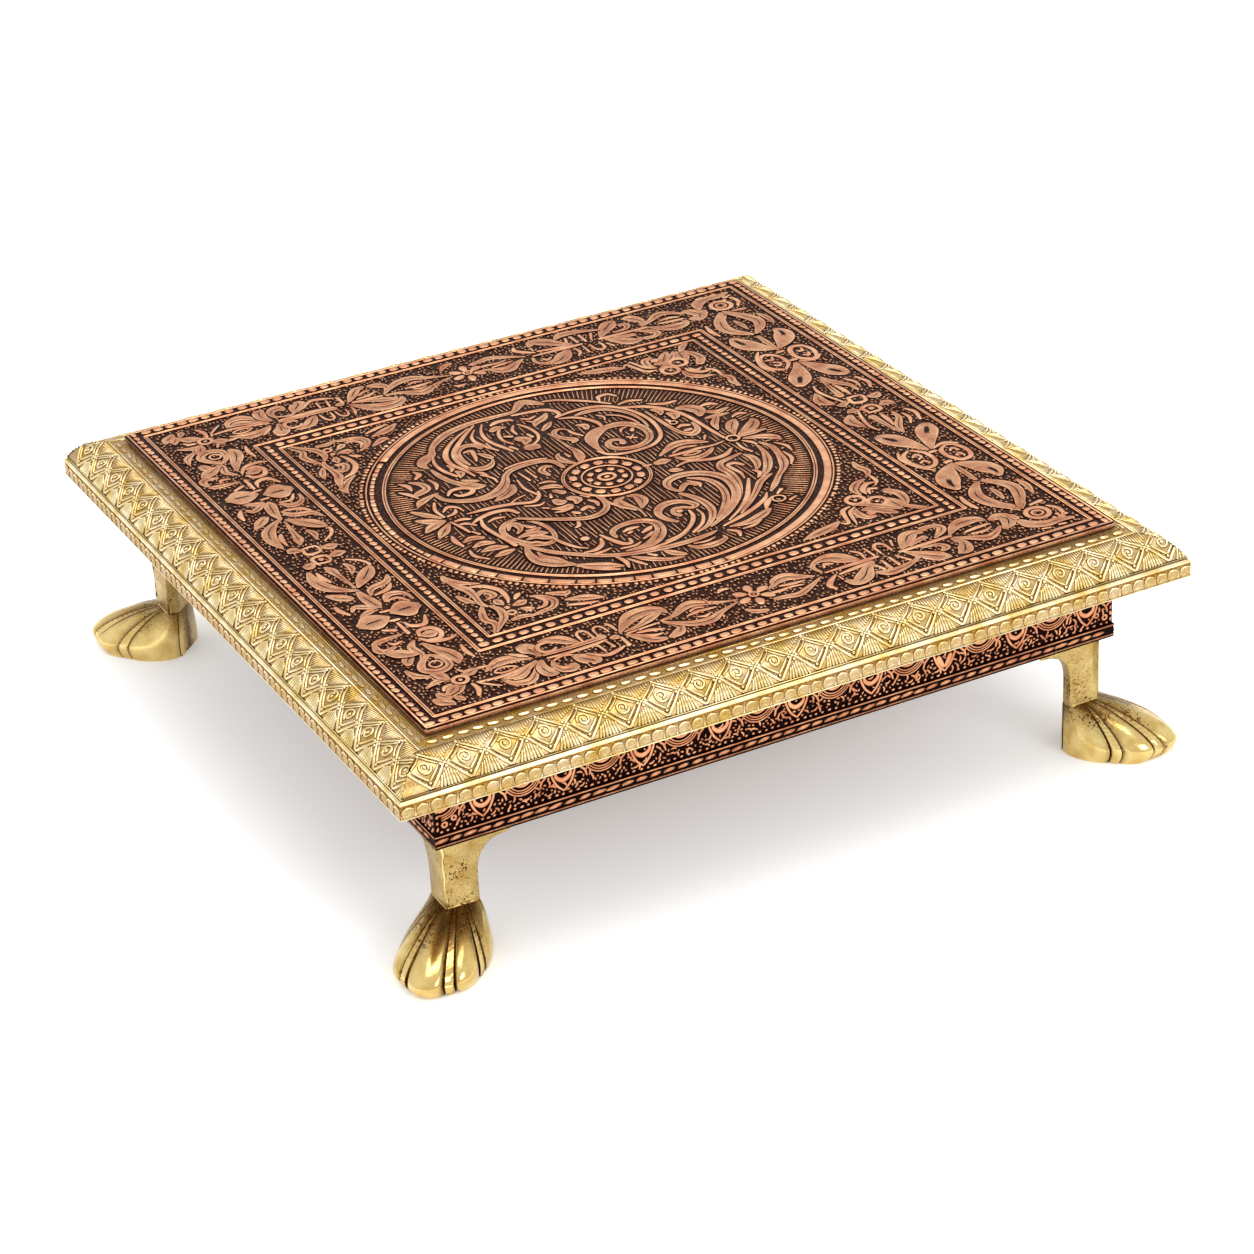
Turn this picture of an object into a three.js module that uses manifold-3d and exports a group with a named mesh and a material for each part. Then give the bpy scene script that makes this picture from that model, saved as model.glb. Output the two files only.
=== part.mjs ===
// A bajot: a low square table with a wooden core, clad in embossed copper and brass sheet, on four cast brass paw legs.
// Millimetres, +Z up. The origin is on the floor under the middle of the top, and the front is towards -Y.
import * as THREE from "three";
import { mergeVertices } from "three/addons/utils/BufferGeometryUtils.js";
import Module from "manifold-3d";

const wasm = await Module();
wasm.setup();

// Overall sizes
const TABLE_SIDE = 305; // across the brass edge
const TABLE_HEIGHT = 90; // floor to the crest of the copper relief
const EDGE_WIDTH = 19; // brass that shows around the copper plate
const APRON_SETBACK = 18.8; // brass lip to the foot of the apron
const APRON_DROP = 27; // apron height that shows below the brass edge
const EDGE_DEPTH = 18.9; // relief crest to the underside of the brass edge

// Sheet metal and fits
const SHEET = 0.5; // brass and copper sheet
const GLUE_GAP = 0.1; // sheet to the wood it is glued on
const SEAM = 0.15; // half of the open line at a mitre
const WOOD_GAP = 0.1; // wood to wood
const SEAT_GAP = 0.1; // a casting or a head to its seat
const HOLE_CLEARANCE = 0.25; // fastener to its hole, on the radius
const OVERRUN = 2; // how far a cut runs past what it cuts

// Copper plate on top
const RELIEF = 0.5; // embossed ground to crest
const BACKING = 1.4; // hardboard under the plate
const PLATE_ROUNDING = 0.4;
const LINE_WIDTH = 1.1; // raised lines around the panels
const OUTER_LINE_INSET = 5.4; // plate edge to the line inside the rope border
const INNER_FRAME_INSET = 37.1; // plate edge to the outer line of the inner square
const INNER_FRAME_WIDTH = 7.2; // between the two lines of the inner square
const MEDALLION_CLEARANCE = 3.2; // inner square to the round medallion's flat ring
const MEDALLION_RING = 3.4; // width of the flat ring
const MEDALLION_LINE_INSET = 5.6; // outside of the flat ring to the thin ring

// Brass edge moulding, from the plate outwards and down
const FLANGE_UNDER_PLATE = 7;
const STRIP_WIDTH = 4.8; // beaded strip along the plate
const STRIP_DROP = 1.7;
const OVOLO_DROP = 8.3;
const OVOLO_SWEEP = 1.25; // radians of the ovolo's curve
const OVOLO_STEPS = 8;
const BAND_STEP = 1; // the band stands out this far past the ovolo
const BAND_STEP_DROP = 1.2;
const LIP_CHAMFER = 0.4;
const RETURN_WIDTH = 9; // brass turned under the board
const RIB_RISE = 0.6; // rounded rib over the band
const RIB_STEPS = 5;
const LOZENGE_PITCH = 14.24; // embossed lozenges along the ovolo
const LOZENGE_WIDTH = 13.4;
const LOZENGE_RISE = 0.5;
const LOZENGE_SHIFT = 1.9; // middle of the side to the middle lozenge

// Wooden apron frame
const RAIL_THICKNESS = 12;
const BLOCK_SIDE = 24; // corner block
const BLOCK_CHAMFER = 8;
const COPPER_RETURN = 7; // copper turned under the rail
const COPPER_BEAD = 0.5; // rounded rail along the apron's foot, standing out
const COPPER_BEAD_HEIGHT = 5.4;

// Cast brass leg
const LEG_INSET = 3.6; // apron face to the leg's face
const WING_THICKNESS = 4.5;
const SHAFT_WIDTH = 12.3;
const BRACKET_REACH = 25; // corner to the tip of a bracket
const BRACKET_TIP = 3; // thickness of the tip
const BRACKET_DEPTH = 16; // where the bracket's curve leaves the shaft
const FLANGE_THICKNESS = 2.2;
const FLANGE_SIDE = 25;
const FLANGE_CHAMFER = 9;
const PAW_HEIGHT = 18.5;
const PAW_HEEL_REACH = 18.5; // flat back to the widest place
const PAW_TOE_REACH = 22; // widest place to the tip of the middle toe
const PAW_HALF_WIDTH = 16;
const PAW_BACK_HALF_WIDTH = 9; // half of the flat back's width
const PAW_BULGE_HEIGHT = 5; // height of the widest level
const PAW_FOOT_SHARE = 0.9; // reach on the floor as a share of the widest
const PAW_RINGS = 9;
const GROOVE_DEPTH = 2.6;
// Where the grooves between the toes lie, as shares of a right angle from the middle toe.
const GROOVE_SHARES = [-1, -0.38, -0.145, 0.145, 0.38, 1];
// Across a toe: the place as a share of its width, and the depth below its crest as a share of the groove's.
// A thin ridge stands in the bottom of each groove.
const TOE_SHARES = [
  [0, 0.5],
  [0.05, 1],
  [0.14, 0.5],
  [0.3, 0.14],
  [0.5, 0],
  [0.7, 0.14],
  [0.86, 0.5],
  [0.95, 1],
];

// Fasteners
const SCREW_HEAD_RADIUS = 3;
const SCREW_HEAD_HEIGHT = 1.9;
const SCREW_RADIUS = 1.5;
const SCREW_LENGTH = 16;
const SCREW_TIP = 3;
const SCREW_SLOT = 0.8;
const SCREW_SLOT_DEPTH = 0.9;
const SCREW_NEAR = 9.5; // leg corner to a screw's near line
const SCREW_FAR = 18.5; // leg corner to a screw's far line
const NAIL_HEAD_RADIUS = 1.7;
const NAIL_HEAD_HEIGHT = 0.8;
const NAIL_RADIUS = 0.9;
const NAIL_LENGTH = 32;
const NAIL_TIP = 2;
const NAIL_FROM_END = 62; // end of a rail to its nearest nail
const PIN_HEAD_RADIUS = 1.3;
const PIN_HEAD_HEIGHT = 0.6;
const PIN_RADIUS = 0.5;
const PIN_LENGTH = 7;
const PIN_TIP = 1;
const EDGE_PIN_FROM_END = 57; // end of the board to the nearest pin of the brass
const APRON_PIN_FROM_END = 48; // end of a rail to the nearest pin of the copper
const FASTENER_SIDES = 10;
const PIN_SIDES = 8;
const RING_SIDES = 72;

// Levels and half widths that follow from the sizes above
const half = (size) => size / 2;
const groundZ = TABLE_HEIGHT - RELIEF;
const backingTop = groundZ - SHEET - GLUE_GAP;
const backingFoot = backingTop - BACKING;
const plateFoot = backingFoot;
const boardTop = backingFoot - SHEET - 2 * GLUE_GAP;
const lipZ = TABLE_HEIGHT - EDGE_DEPTH;
const skin = SHEET + GLUE_GAP;
const boardFoot = lipZ + skin;
const boardHalf = half(TABLE_SIDE) - skin;
const plateHalf = half(TABLE_SIDE) - EDGE_WIDTH;
const apronHalf = half(TABLE_SIDE) - APRON_SETBACK;
const medallionRadius = plateHalf - INNER_FRAME_INSET - INNER_FRAME_WIDTH - LINE_WIDTH - MEDALLION_CLEARANCE;
const apronZ = lipZ - APRON_DROP;
const railFoot = apronZ + skin;
const railTop = boardFoot - WOOD_GAP;
const railHalf = apronHalf - COPPER_BEAD - skin;
const railInner = railHalf - RAIL_THICKNESS;
const legTop = apronZ - SEAT_GAP;
const legHalf = apronHalf - LEG_INSET;

const brassSheet = new THREE.MeshStandardMaterial({ color: 0xdcbc62, metalness: 0.95, roughness: 0.3 });
const castBrass = new THREE.MeshStandardMaterial({ color: 0xcda24a, metalness: 0.95, roughness: 0.24 });
const copperSheet = new THREE.MeshStandardMaterial({ color: 0x9c5c3e, metalness: 0.8, roughness: 0.45 });
const mangoWood = new THREE.MeshStandardMaterial({ color: 0x9b6b3f, metalness: 0, roughness: 0.75 });
const hardboard = new THREE.MeshStandardMaterial({ color: 0x6b4a30, metalness: 0, roughness: 0.85 });
const steel = new THREE.MeshStandardMaterial({ color: 0x9a9c9f, metalness: 0.9, roughness: 0.35 });

// Solids: joins and cuts of closed geometries
function solidOf(geometry) {
  const bare = geometry.clone();
  bare.deleteAttribute("normal");
  bare.deleteAttribute("uv");
  const merged = mergeVertices(bare, 1e-4);
  return new wasm.Manifold(
    new wasm.Mesh({
      numProp: 3,
      vertProperties: merged.attributes.position.array,
      triVerts: new Uint32Array(merged.index.array),
    }),
  );
}

function geometryOf(made) {
  const mesh = made.getMesh();
  const geometry = new THREE.BufferGeometry();
  geometry.setAttribute("position", new THREE.BufferAttribute(Float32Array.from(mesh.vertProperties), 3));
  geometry.setIndex(new THREE.BufferAttribute(Uint32Array.from(mesh.triVerts), 1));
  geometry.computeVertexNormals();
  return geometry;
}

function join(...geometries) {
  return geometryOf(geometries.map(solidOf).reduce((whole, next) => whole.add(next)));
}

function cut(geometry, ...tools) {
  return geometryOf(tools.map(solidOf).reduce((whole, tool) => whole.subtract(tool), solidOf(geometry)));
}

function box(low, high) {
  const size = high.map((value, axis) => value - low[axis]);
  const middle = high.map((value, axis) => half(value + low[axis]));
  return new THREE.BoxGeometry(...size).translate(...middle);
}

function fromTriangles(points, triangles) {
  const geometry = new THREE.BufferGeometry();
  geometry.setAttribute("position", new THREE.Float32BufferAttribute(points.flat(), 3));
  geometry.setIndex(triangles.flat());
  geometry.computeVertexNormals();
  return geometry;
}

// A square block whose sides follow a profile of [half width, height], from its foot up.
function squareLoft(profile) {
  const corners = [
    [-1, -1],
    [1, -1],
    [1, 1],
    [-1, 1],
  ];
  const points = profile.flatMap(([reach, z]) => corners.map(([x, y]) => [x * reach, y * reach, z]));
  const triangles = [];
  for (let level = 0; level + 1 < profile.length; level++) {
    for (let side = 0; side < 4; side++) {
      const a = 4 * level + side;
      const b = 4 * level + ((side + 1) % 4);
      triangles.push([a, b, b + 4], [a, b + 4, a + 4]);
    }
  }
  const top = 4 * (profile.length - 1);
  triangles.push([0, 2, 1], [0, 3, 2], [top, top + 1, top + 2], [top, top + 2, top + 3]);
  return fromTriangles(points, triangles);
}

// Triangles between two rows of points that run along a bar, matched by their slots.
function bridge(row, nextRow) {
  const triangles = [];
  let [i, j] = [0, 0];
  while (i + 1 < row.length || j + 1 < nextRow.length) {
    const [a, b] = [row[i].place, nextRow[j].place];
    const [c, d] = [row[i + 1], nextRow[j + 1]];
    if (c && d && c.slot === d.slot) {
      const towardsFiner = row.length < nextRow.length;
      triangles.push(towardsFiner ? [a, c.place, b] : [a, c.place, d.place]);
      triangles.push(towardsFiner ? [c.place, d.place, b] : [a, d.place, b]);
      i++;
      j++;
    } else if (!d || (c && c.slot < d.slot)) {
      triangles.push([a, c.place, b]);
      i++;
    } else {
      triangles.push([a, d.place, b]);
      j++;
    }
  }
  return triangles;
}

// A bar along the front side of a square frame, with a closed section of [distance from the middle, height].
// Both ends are mitred, and stand back from the mitre line by the seam. A section's point may list
// embossed points of its own along the bar, as [x, y, z, slot] from left to right.
function mitredBar(section) {
  const flat = section.map(([reach, z]) => new THREE.Vector2(reach, z));
  const ordered = THREE.ShapeUtils.isClockWise(flat) ? [...section].reverse() : section;
  const points = [];
  const rows = ordered.map(([reach, z, embossed = []]) => {
    const row = [[-(reach - SEAM), -reach, z, -1], ...embossed, [reach - SEAM, -reach, z, Infinity]];
    return row.map(([x, y, height, slot]) => ({ place: points.push([x, y, height]) - 1, slot }));
  });
  const triangles = rows.flatMap((row, i) => bridge(row, rows[(i + 1) % rows.length]));
  const end = ordered.map(([reach, z]) => new THREE.Vector2(reach, z));
  for (const corners of THREE.ShapeUtils.triangulateShape(end, [])) {
    const [a, b, c] = corners.map((i) => rows[i]);
    triangles.push([a[0].place, b[0].place, c[0].place]);
    triangles.push([a.at(-1).place, c.at(-1).place, b.at(-1).place]);
  }
  return fromTriangles(points, triangles);
}

// An open line of [distance, height] moved outwards, to its left as it runs, with mitred corners.
function offsetLine(line, distance) {
  const normals = line.slice(1).map(([r, z], i) => {
    const [dr, dz] = [r - line[i][0], z - line[i][1]];
    const length = Math.hypot(dr, dz);
    return [-dz / length, dr / length];
  });
  return line.map(([r, z], i) => {
    const before = normals[Math.max(i - 1, 0)];
    const after = normals[Math.min(i, normals.length - 1)];
    const sum = [before[0] + after[0], before[1] + after[1]];
    const scale = (2 * distance) / (sum[0] ** 2 + sum[1] ** 2);
    return [r + sum[0] * scale, z + sum[1] * scale];
  });
}

// A turned solid about Z, from an outline of [radius, height] that starts and ends on the axis.
function turned(outline, sides) {
  return new THREE.LatheGeometry(
    outline.map(([radius, z]) => new THREE.Vector2(radius, z)),
    sides,
  ).rotateX(Math.PI / 2);
}

// Wooden board: the section is the line that the brass is glued over
const bandZ = lipZ + EDGE_DEPTH - (TABLE_HEIGHT - plateFoot) - STRIP_DROP - OVOLO_DROP;
const ovoloTop = bandZ + OVOLO_DROP - skin;
const ovoloStart = plateHalf + STRIP_WIDTH - skin;
const ovoloEnd = boardHalf - BAND_STEP;
const ovoloFoot = bandZ - skin;

function edgeLine() {
  const line = [];
  line.push([boardHalf - RETURN_WIDTH, boardFoot]);
  line.push([boardHalf - LIP_CHAMFER, boardFoot]);
  line.push([boardHalf, boardFoot + LIP_CHAMFER]);
  line.push([boardHalf, ovoloFoot - BAND_STEP_DROP]);
  for (let i = OVOLO_STEPS; i >= 0; i--) {
    const turn = (OVOLO_SWEEP * i) / OVOLO_STEPS;
    const out = Math.sin(turn) / Math.sin(OVOLO_SWEEP);
    const down = (1 - Math.cos(turn)) / (1 - Math.cos(OVOLO_SWEEP));
    line.push([ovoloStart + (ovoloEnd - ovoloStart) * out, ovoloTop - (ovoloTop - ovoloFoot) * down]);
  }
  line.push([plateHalf, boardTop]);
  line.push([plateHalf - FLANGE_UNDER_PLATE, boardTop]);
  return line;
}

const outline = edgeLine();
const boardSolid = squareLoft(outline.slice(0, -1));

// Fastener outlines, head down at z = 0 and point up
function fastener(headRadius, headHeight, radius, length, tip) {
  return [
    [0, 0],
    [headRadius, 0],
    [radius, headHeight],
    [radius, length - tip],
    [0, length],
  ];
}

const screwOutline = fastener(SCREW_HEAD_RADIUS, SCREW_HEAD_HEIGHT, SCREW_RADIUS, SCREW_LENGTH, SCREW_TIP);
const nailOutline = fastener(NAIL_HEAD_RADIUS, NAIL_HEAD_HEIGHT, NAIL_RADIUS, NAIL_LENGTH, NAIL_TIP);
const pinOutline = fastener(PIN_HEAD_RADIUS, PIN_HEAD_HEIGHT, PIN_RADIUS, PIN_LENGTH, PIN_TIP);

// The hole for a fastener is its own outline, wider by the clearance, run past the head's face.
function holeFor(fastenerOutline, sides) {
  const inner = fastenerOutline.slice(1, -1).map(([radius, z]) => [radius + HOLE_CLEARANCE, z]);
  const foot = fastenerOutline.at(-1)[1] + HOLE_CLEARANCE;
  return turned([[0, -OVERRUN], [inner[0][0], -OVERRUN], ...inner, [0, foot]], sides);
}

const screwHole = holeFor(screwOutline, FASTENER_SIDES);
const nailHole = holeFor(nailOutline, PIN_SIDES);
const pinHole = holeFor(pinOutline, PIN_SIDES);

const screwSlot = box(
  [-SCREW_HEAD_RADIUS - OVERRUN, -half(SCREW_SLOT), -OVERRUN],
  [SCREW_HEAD_RADIUS + OVERRUN, half(SCREW_SLOT), SCREW_SLOT_DEPTH],
);
const screwSolid = cut(turned(screwOutline, FASTENER_SIDES), screwSlot);
const nailSolid = turned(nailOutline, PIN_SIDES);
const pinSolid = turned(pinOutline, PIN_SIDES);

// Places of the fasteners on the front side and at the front left corner
const railMiddle = half(railHalf + railInner);
const pair = (reach, y) => [-reach, reach].map((x) => [x, y]);
const nailPlaces = pair(railHalf - NAIL_FROM_END, -railMiddle);
const edgePinReach = boardHalf - half(RETURN_WIDTH);
const edgePinPlaces = pair(boardHalf - EDGE_PIN_FROM_END, -edgePinReach);
const apronPinReach = railHalf - half(COPPER_RETURN);
const apronPinPlaces = pair(railHalf - APRON_PIN_FROM_END, -apronPinReach);
const screwPlaces = [
  [SCREW_FAR, SCREW_NEAR],
  [SCREW_NEAR, SCREW_FAR],
  [SCREW_FAR, SCREW_FAR],
].map(([x, y]) => [x - legHalf, y - legHalf]);
const screwHeadZ = legTop - FLANGE_THICKNESS - SEAT_GAP;
const edgePinHeadZ = lipZ - PIN_HEAD_HEIGHT;
const apronPinHeadZ = apronZ - PIN_HEAD_HEIGHT;

// Four copies of a tool about the middle, one for each side or corner.
function aroundTable(geometries) {
  return [0, 1, 2, 3].flatMap((quarter) =>
    geometries.map((geometry) => geometry.clone().rotateZ((quarter * Math.PI) / 2)),
  );
}

const at = (geometry, places, z) => places.map(([x, y]) => geometry.clone().translate(x, y, z));
// Nails are driven from the top, so their holes are turned over.
const nailHoles = at(nailHole.clone().rotateX(Math.PI), nailPlaces, boardTop);
const edgePinHoles = at(pinHole, edgePinPlaces, edgePinHeadZ);
const apronPinHoles = at(pinHole, apronPinPlaces, apronPinHeadZ);
const screwHoles = at(screwHole, screwPlaces, screwHeadZ);

const boardGeometry = cut(boardSolid, ...aroundTable([...nailHoles, ...edgePinHoles]));

// Brass edge strip: one pressed sheet along a side, with a rounded rib where the ovolo meets the band,
// and a row of lozenges embossed on the ovolo, each rising to its middle. Only whole ones are modelled.
const lozengesEachWay = Math.floor((ovoloStart - half(LOZENGE_WIDTH) - LOZENGE_SHIFT) / LOZENGE_PITCH);
const lozengePlaces = Array.from({ length: 2 * lozengesEachWay + 1 }, (_, i) => {
  return LOZENGE_SHIFT + LOZENGE_PITCH * (i - lozengesEachWay);
});

function lozengeRow(row, index, [reach, z]) {
  const share = 1 - Math.abs(row - half(OVOLO_STEPS)) / (half(OVOLO_STEPS) - 1);
  const side = half(LOZENGE_WIDTH) * share;
  const [crest, crestZ] = offsetLine(outline, -GLUE_GAP - SHEET - LOZENGE_RISE * share)[index];
  return lozengePlaces.flatMap((x, i) => {
    const middle = [x, -crest, crestZ, 3 * i + 1];
    return share > 0 ? [[x - side, -reach, z, 3 * i], middle, [x + side, -reach, z, 3 * i + 2]] : [middle];
  });
}

function brassEdge() {
  const inner = offsetLine(outline, -GLUE_GAP);
  const outer = offsetLine(outline, -GLUE_GAP - SHEET);
  const bandTop = outline.findIndex(([, z]) => z > ovoloFoot - BAND_STEP_DROP - half(LIP_CHAMFER));
  const [low, high] = [outer[bandTop], outer[bandTop + 1]];
  const along = [half(high[0] - low[0]), half(high[1] - low[1])];
  const length = Math.hypot(...along);
  const rib = Array.from({ length: RIB_STEPS - 1 }, (_, i) => {
    const turn = (Math.PI * (i + 1)) / RIB_STEPS;
    const rise = (RIB_RISE * Math.sin(turn)) / length;
    const share = 1 - Math.cos(turn);
    return [low[0] + along[0] * share + along[1] * rise, low[1] + along[1] * share - along[0] * rise];
  });
  for (let row = 1; row < OVOLO_STEPS; row++) {
    const index = bandTop + 1 + OVOLO_STEPS - row;
    outer[index].push(lozengeRow(row, index, outer[index]));
  }
  outer.splice(bandTop + 1, 0, ...rib);
  return cut(mitredBar([...outer, ...inner.reverse()]), ...edgePinHoles);
}

// Copper plate: a sheet turned down over the hardboard, with its raised lines and rings
function squareLine(inset) {
  const reach = plateHalf - inset;
  const outerLine = box([-reach, -reach, groundZ - half(SHEET)], [reach, reach, TABLE_HEIGHT]);
  const inside = reach - LINE_WIDTH;
  const opening = box(
    [-inside, -inside, groundZ - SHEET - OVERRUN],
    [inside, inside, TABLE_HEIGHT + OVERRUN],
  );
  return cut(outerLine, opening);
}

function ringLine(radius, width) {
  const low = groundZ - half(SHEET);
  const ring = [
    [radius - width, low],
    [radius, low],
    [radius, groundZ + half(RELIEF)],
    [radius - width / 4, TABLE_HEIGHT],
    [radius - (3 * width) / 4, TABLE_HEIGHT],
    [radius - width, groundZ + half(RELIEF)],
    [radius - width, low],
  ];
  return turned(ring, RING_SIDES);
}

function copperPlate() {
  const shell = squareLoft([
    [plateHalf, plateFoot],
    [plateHalf, groundZ - PLATE_ROUNDING],
    [plateHalf - PLATE_ROUNDING, groundZ],
  ]);
  const inside = plateHalf - SHEET;
  const hollow = box([-inside, -inside, plateFoot - OVERRUN], [inside, inside, groundZ - SHEET]);
  return join(
    cut(shell, hollow),
    squareLine(OUTER_LINE_INSET),
    squareLine(INNER_FRAME_INSET),
    squareLine(INNER_FRAME_INSET + INNER_FRAME_WIDTH),
    ringLine(medallionRadius, MEDALLION_RING),
    ringLine(medallionRadius - MEDALLION_LINE_INSET, LINE_WIDTH),
  );
}

const backingHalf = plateHalf - SHEET - GLUE_GAP;
const backingGeometry = box(
  [-backingHalf, -backingHalf, backingFoot],
  [backingHalf, backingHalf, backingTop],
);

// Apron: mitred rails under the board, each with a copper strip over its face and foot
const railSection = [
  [railInner, railFoot],
  [railHalf, railFoot],
  [railHalf, railTop],
  [railInner, railTop],
];
const railScrewHoles = aroundTable(screwHoles).filter((hole) => {
  hole.computeBoundingBox();
  return hole.boundingBox.max.y < 0;
});
const railGeometry = cut(mitredBar(railSection), ...nailHoles, ...apronPinHoles, ...railScrewHoles);

function apronSheet() {
  const near = railHalf + GLUE_GAP;
  const far = near + SHEET;
  const top = lipZ - SEAT_GAP;
  const returnEnd = railHalf - COPPER_RETURN;
  const section = [
    [returnEnd, apronZ],
    [far + half(COPPER_BEAD), apronZ],
    [far + COPPER_BEAD, apronZ + half(COPPER_BEAD)],
    [far + COPPER_BEAD, apronZ + COPPER_BEAD_HEIGHT - half(COPPER_BEAD)],
    [far, apronZ + COPPER_BEAD_HEIGHT],
    [far, top],
    [near, top],
    [near, apronZ + SHEET],
    [returnEnd, apronZ + SHEET],
  ];
  return cut(mitredBar(section), ...apronPinHoles, ...railScrewHoles);
}

const blockReach = railInner - WOOD_GAP;
function cornerBlock() {
  const shape = new THREE.Shape([
    new THREE.Vector2(0, 0),
    new THREE.Vector2(BLOCK_SIDE, 0),
    new THREE.Vector2(BLOCK_SIDE, BLOCK_SIDE - BLOCK_CHAMFER),
    new THREE.Vector2(BLOCK_SIDE - BLOCK_CHAMFER, BLOCK_SIDE),
    new THREE.Vector2(0, BLOCK_SIDE),
  ]);
  const depth = railTop - railFoot;
  const block = new THREE.ExtrudeGeometry(shape, { depth, bevelEnabled: false });
  block.translate(-blockReach, -blockReach, railFoot);
  return cut(block, ...screwHoles);
}

// Cast leg, modelled with its outer corner at the origin and the table's middle towards +X and +Y
function wing() {
  const shape = new THREE.Shape();
  const shaftFoot = half(PAW_HEIGHT);
  shape.moveTo(0, shaftFoot);
  shape.lineTo(SHAFT_WIDTH, shaftFoot);
  shape.lineTo(SHAFT_WIDTH, legTop - BRACKET_DEPTH);
  shape.quadraticCurveTo(SHAFT_WIDTH, legTop - BRACKET_TIP, BRACKET_REACH, legTop - BRACKET_TIP);
  shape.lineTo(BRACKET_REACH, legTop);
  shape.lineTo(0, legTop);
  const plate = new THREE.ExtrudeGeometry(shape, {
    depth: WING_THICKNESS,
    bevelEnabled: false,
    curveSegments: 8,
  });
  // The outline stands in XZ, and the thickness runs inwards along +Y.
  return plate.rotateX(Math.PI / 2).translate(0, WING_THICKNESS, 0);
}

function flange() {
  const shape = new THREE.Shape([
    new THREE.Vector2(0, 0),
    new THREE.Vector2(FLANGE_SIDE, 0),
    new THREE.Vector2(FLANGE_SIDE, FLANGE_SIDE - FLANGE_CHAMFER),
    new THREE.Vector2(FLANGE_SIDE - FLANGE_CHAMFER, FLANGE_SIDE),
    new THREE.Vector2(0, FLANGE_SIDE),
  ]);
  const plate = new THREE.ExtrudeGeometry(shape, { depth: FLANGE_THICKNESS, bevelEnabled: false });
  return plate.translate(0, 0, legTop - FLANGE_THICKNESS);
}

function shaftCore() {
  const shape = new THREE.Shape([
    new THREE.Vector2(half(WING_THICKNESS), half(WING_THICKNESS)),
    new THREE.Vector2(SHAFT_WIDTH, half(WING_THICKNESS)),
    new THREE.Vector2(SHAFT_WIDTH, WING_THICKNESS),
    new THREE.Vector2(WING_THICKNESS, SHAFT_WIDTH),
    new THREE.Vector2(half(WING_THICKNESS), SHAFT_WIDTH),
  ]);
  const foot = half(PAW_HEIGHT);
  const depth = legTop - half(FLANGE_THICKNESS) - foot;
  const core = new THREE.ExtrudeGeometry(shape, { depth, bevelEnabled: false });
  return core.translate(0, 0, foot);
}

// The paw's flat back stands across the diagonal, and its toes fan out from it.
const backDistance = (SHAFT_WIDTH + WING_THICKNESS) / Math.SQRT2;
const backHalf = (SHAFT_WIDTH - WING_THICKNESS) / Math.SQRT2;

// How far the paw reaches from the middle of its flat back, at an angle from the middle toe and at a height.
function pawReach(angle, z, depthShare) {
  const [c, s] = [Math.cos(angle), Math.abs(Math.sin(angle))];
  const heelLong = PAW_HEEL_REACH / Math.sqrt(1 - (PAW_BACK_HALF_WIDTH / PAW_HALF_WIDTH) ** 2);
  const long = s * PAW_HEEL_REACH < c * PAW_HALF_WIDTH ? PAW_TOE_REACH : heelLong;
  const a = (c / long) ** 2 + (s / PAW_HALF_WIDTH) ** 2;
  const b = (PAW_HEEL_REACH * c) / long ** 2;
  const widest = (b + Math.sqrt(b ** 2 - a * ((PAW_HEEL_REACH / long) ** 2 - 1))) / a;
  const face = backDistance / (c + s);
  const neck = s > c ? Math.min(face, backHalf / (s - c)) : face;
  const rising = Math.max(z - PAW_BULGE_HEIGHT, 0) / (PAW_HEIGHT - PAW_BULGE_HEIGHT);
  const tucked = 1 - Math.min(z / PAW_BULGE_HEIGHT, 1);
  const swell = (1 - rising ** 1.5) ** 0.8 - (1 - PAW_FOOT_SHARE) * tucked ** 2;
  const fading = Math.min(1, (PAW_HEIGHT - z) / PAW_BULGE_HEIGHT);
  return neck + (widest - neck) * swell - GROOVE_DEPTH * depthShare * Math.sqrt(swell) * fading;
}

function paw() {
  const quarterTurn = half(Math.PI);
  const places = GROOVE_SHARES.slice(1).flatMap((end, i) => {
    const start = GROOVE_SHARES[i];
    return TOE_SHARES.map(([place, depth]) => [quarterTurn * (start + (end - start) * place), depth]);
  });
  places.push([quarterTurn, TOE_SHARES[0][1]]);
  const levels = Array.from({ length: PAW_RINGS + 1 }, (_, i) => {
    return PAW_HEIGHT * Math.sin((quarterTurn * i) / PAW_RINGS) ** 1.25;
  });
  const ring = places.length + 1;
  const points = levels.flatMap((z) => [
    ...places.map(([angle, depth]) => {
      const reach = pawReach(angle, z, depth);
      return [reach * Math.cos(angle), reach * Math.sin(angle), z];
    }),
    [0, 0, z],
  ]);
  const triangles = [];
  for (let level = 0; level < PAW_RINGS; level++) {
    for (let i = 0; i < ring; i++) {
      const a = level * ring + i;
      const b = level * ring + ((i + 1) % ring);
      triangles.push([a, b, b + ring], [a, b + ring, a + ring]);
    }
  }
  const top = PAW_RINGS * ring;
  for (let i = 0; i + 2 < ring; i++) {
    triangles.push([ring - 1, i + 1, i], [top + ring - 1, top + i, top + i + 1]);
  }
  const outward = (5 * Math.PI) / 4;
  const along = backDistance / Math.SQRT2;
  return fromTriangles(points, triangles).rotateZ(outward).translate(along, along, 0);
}

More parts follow.
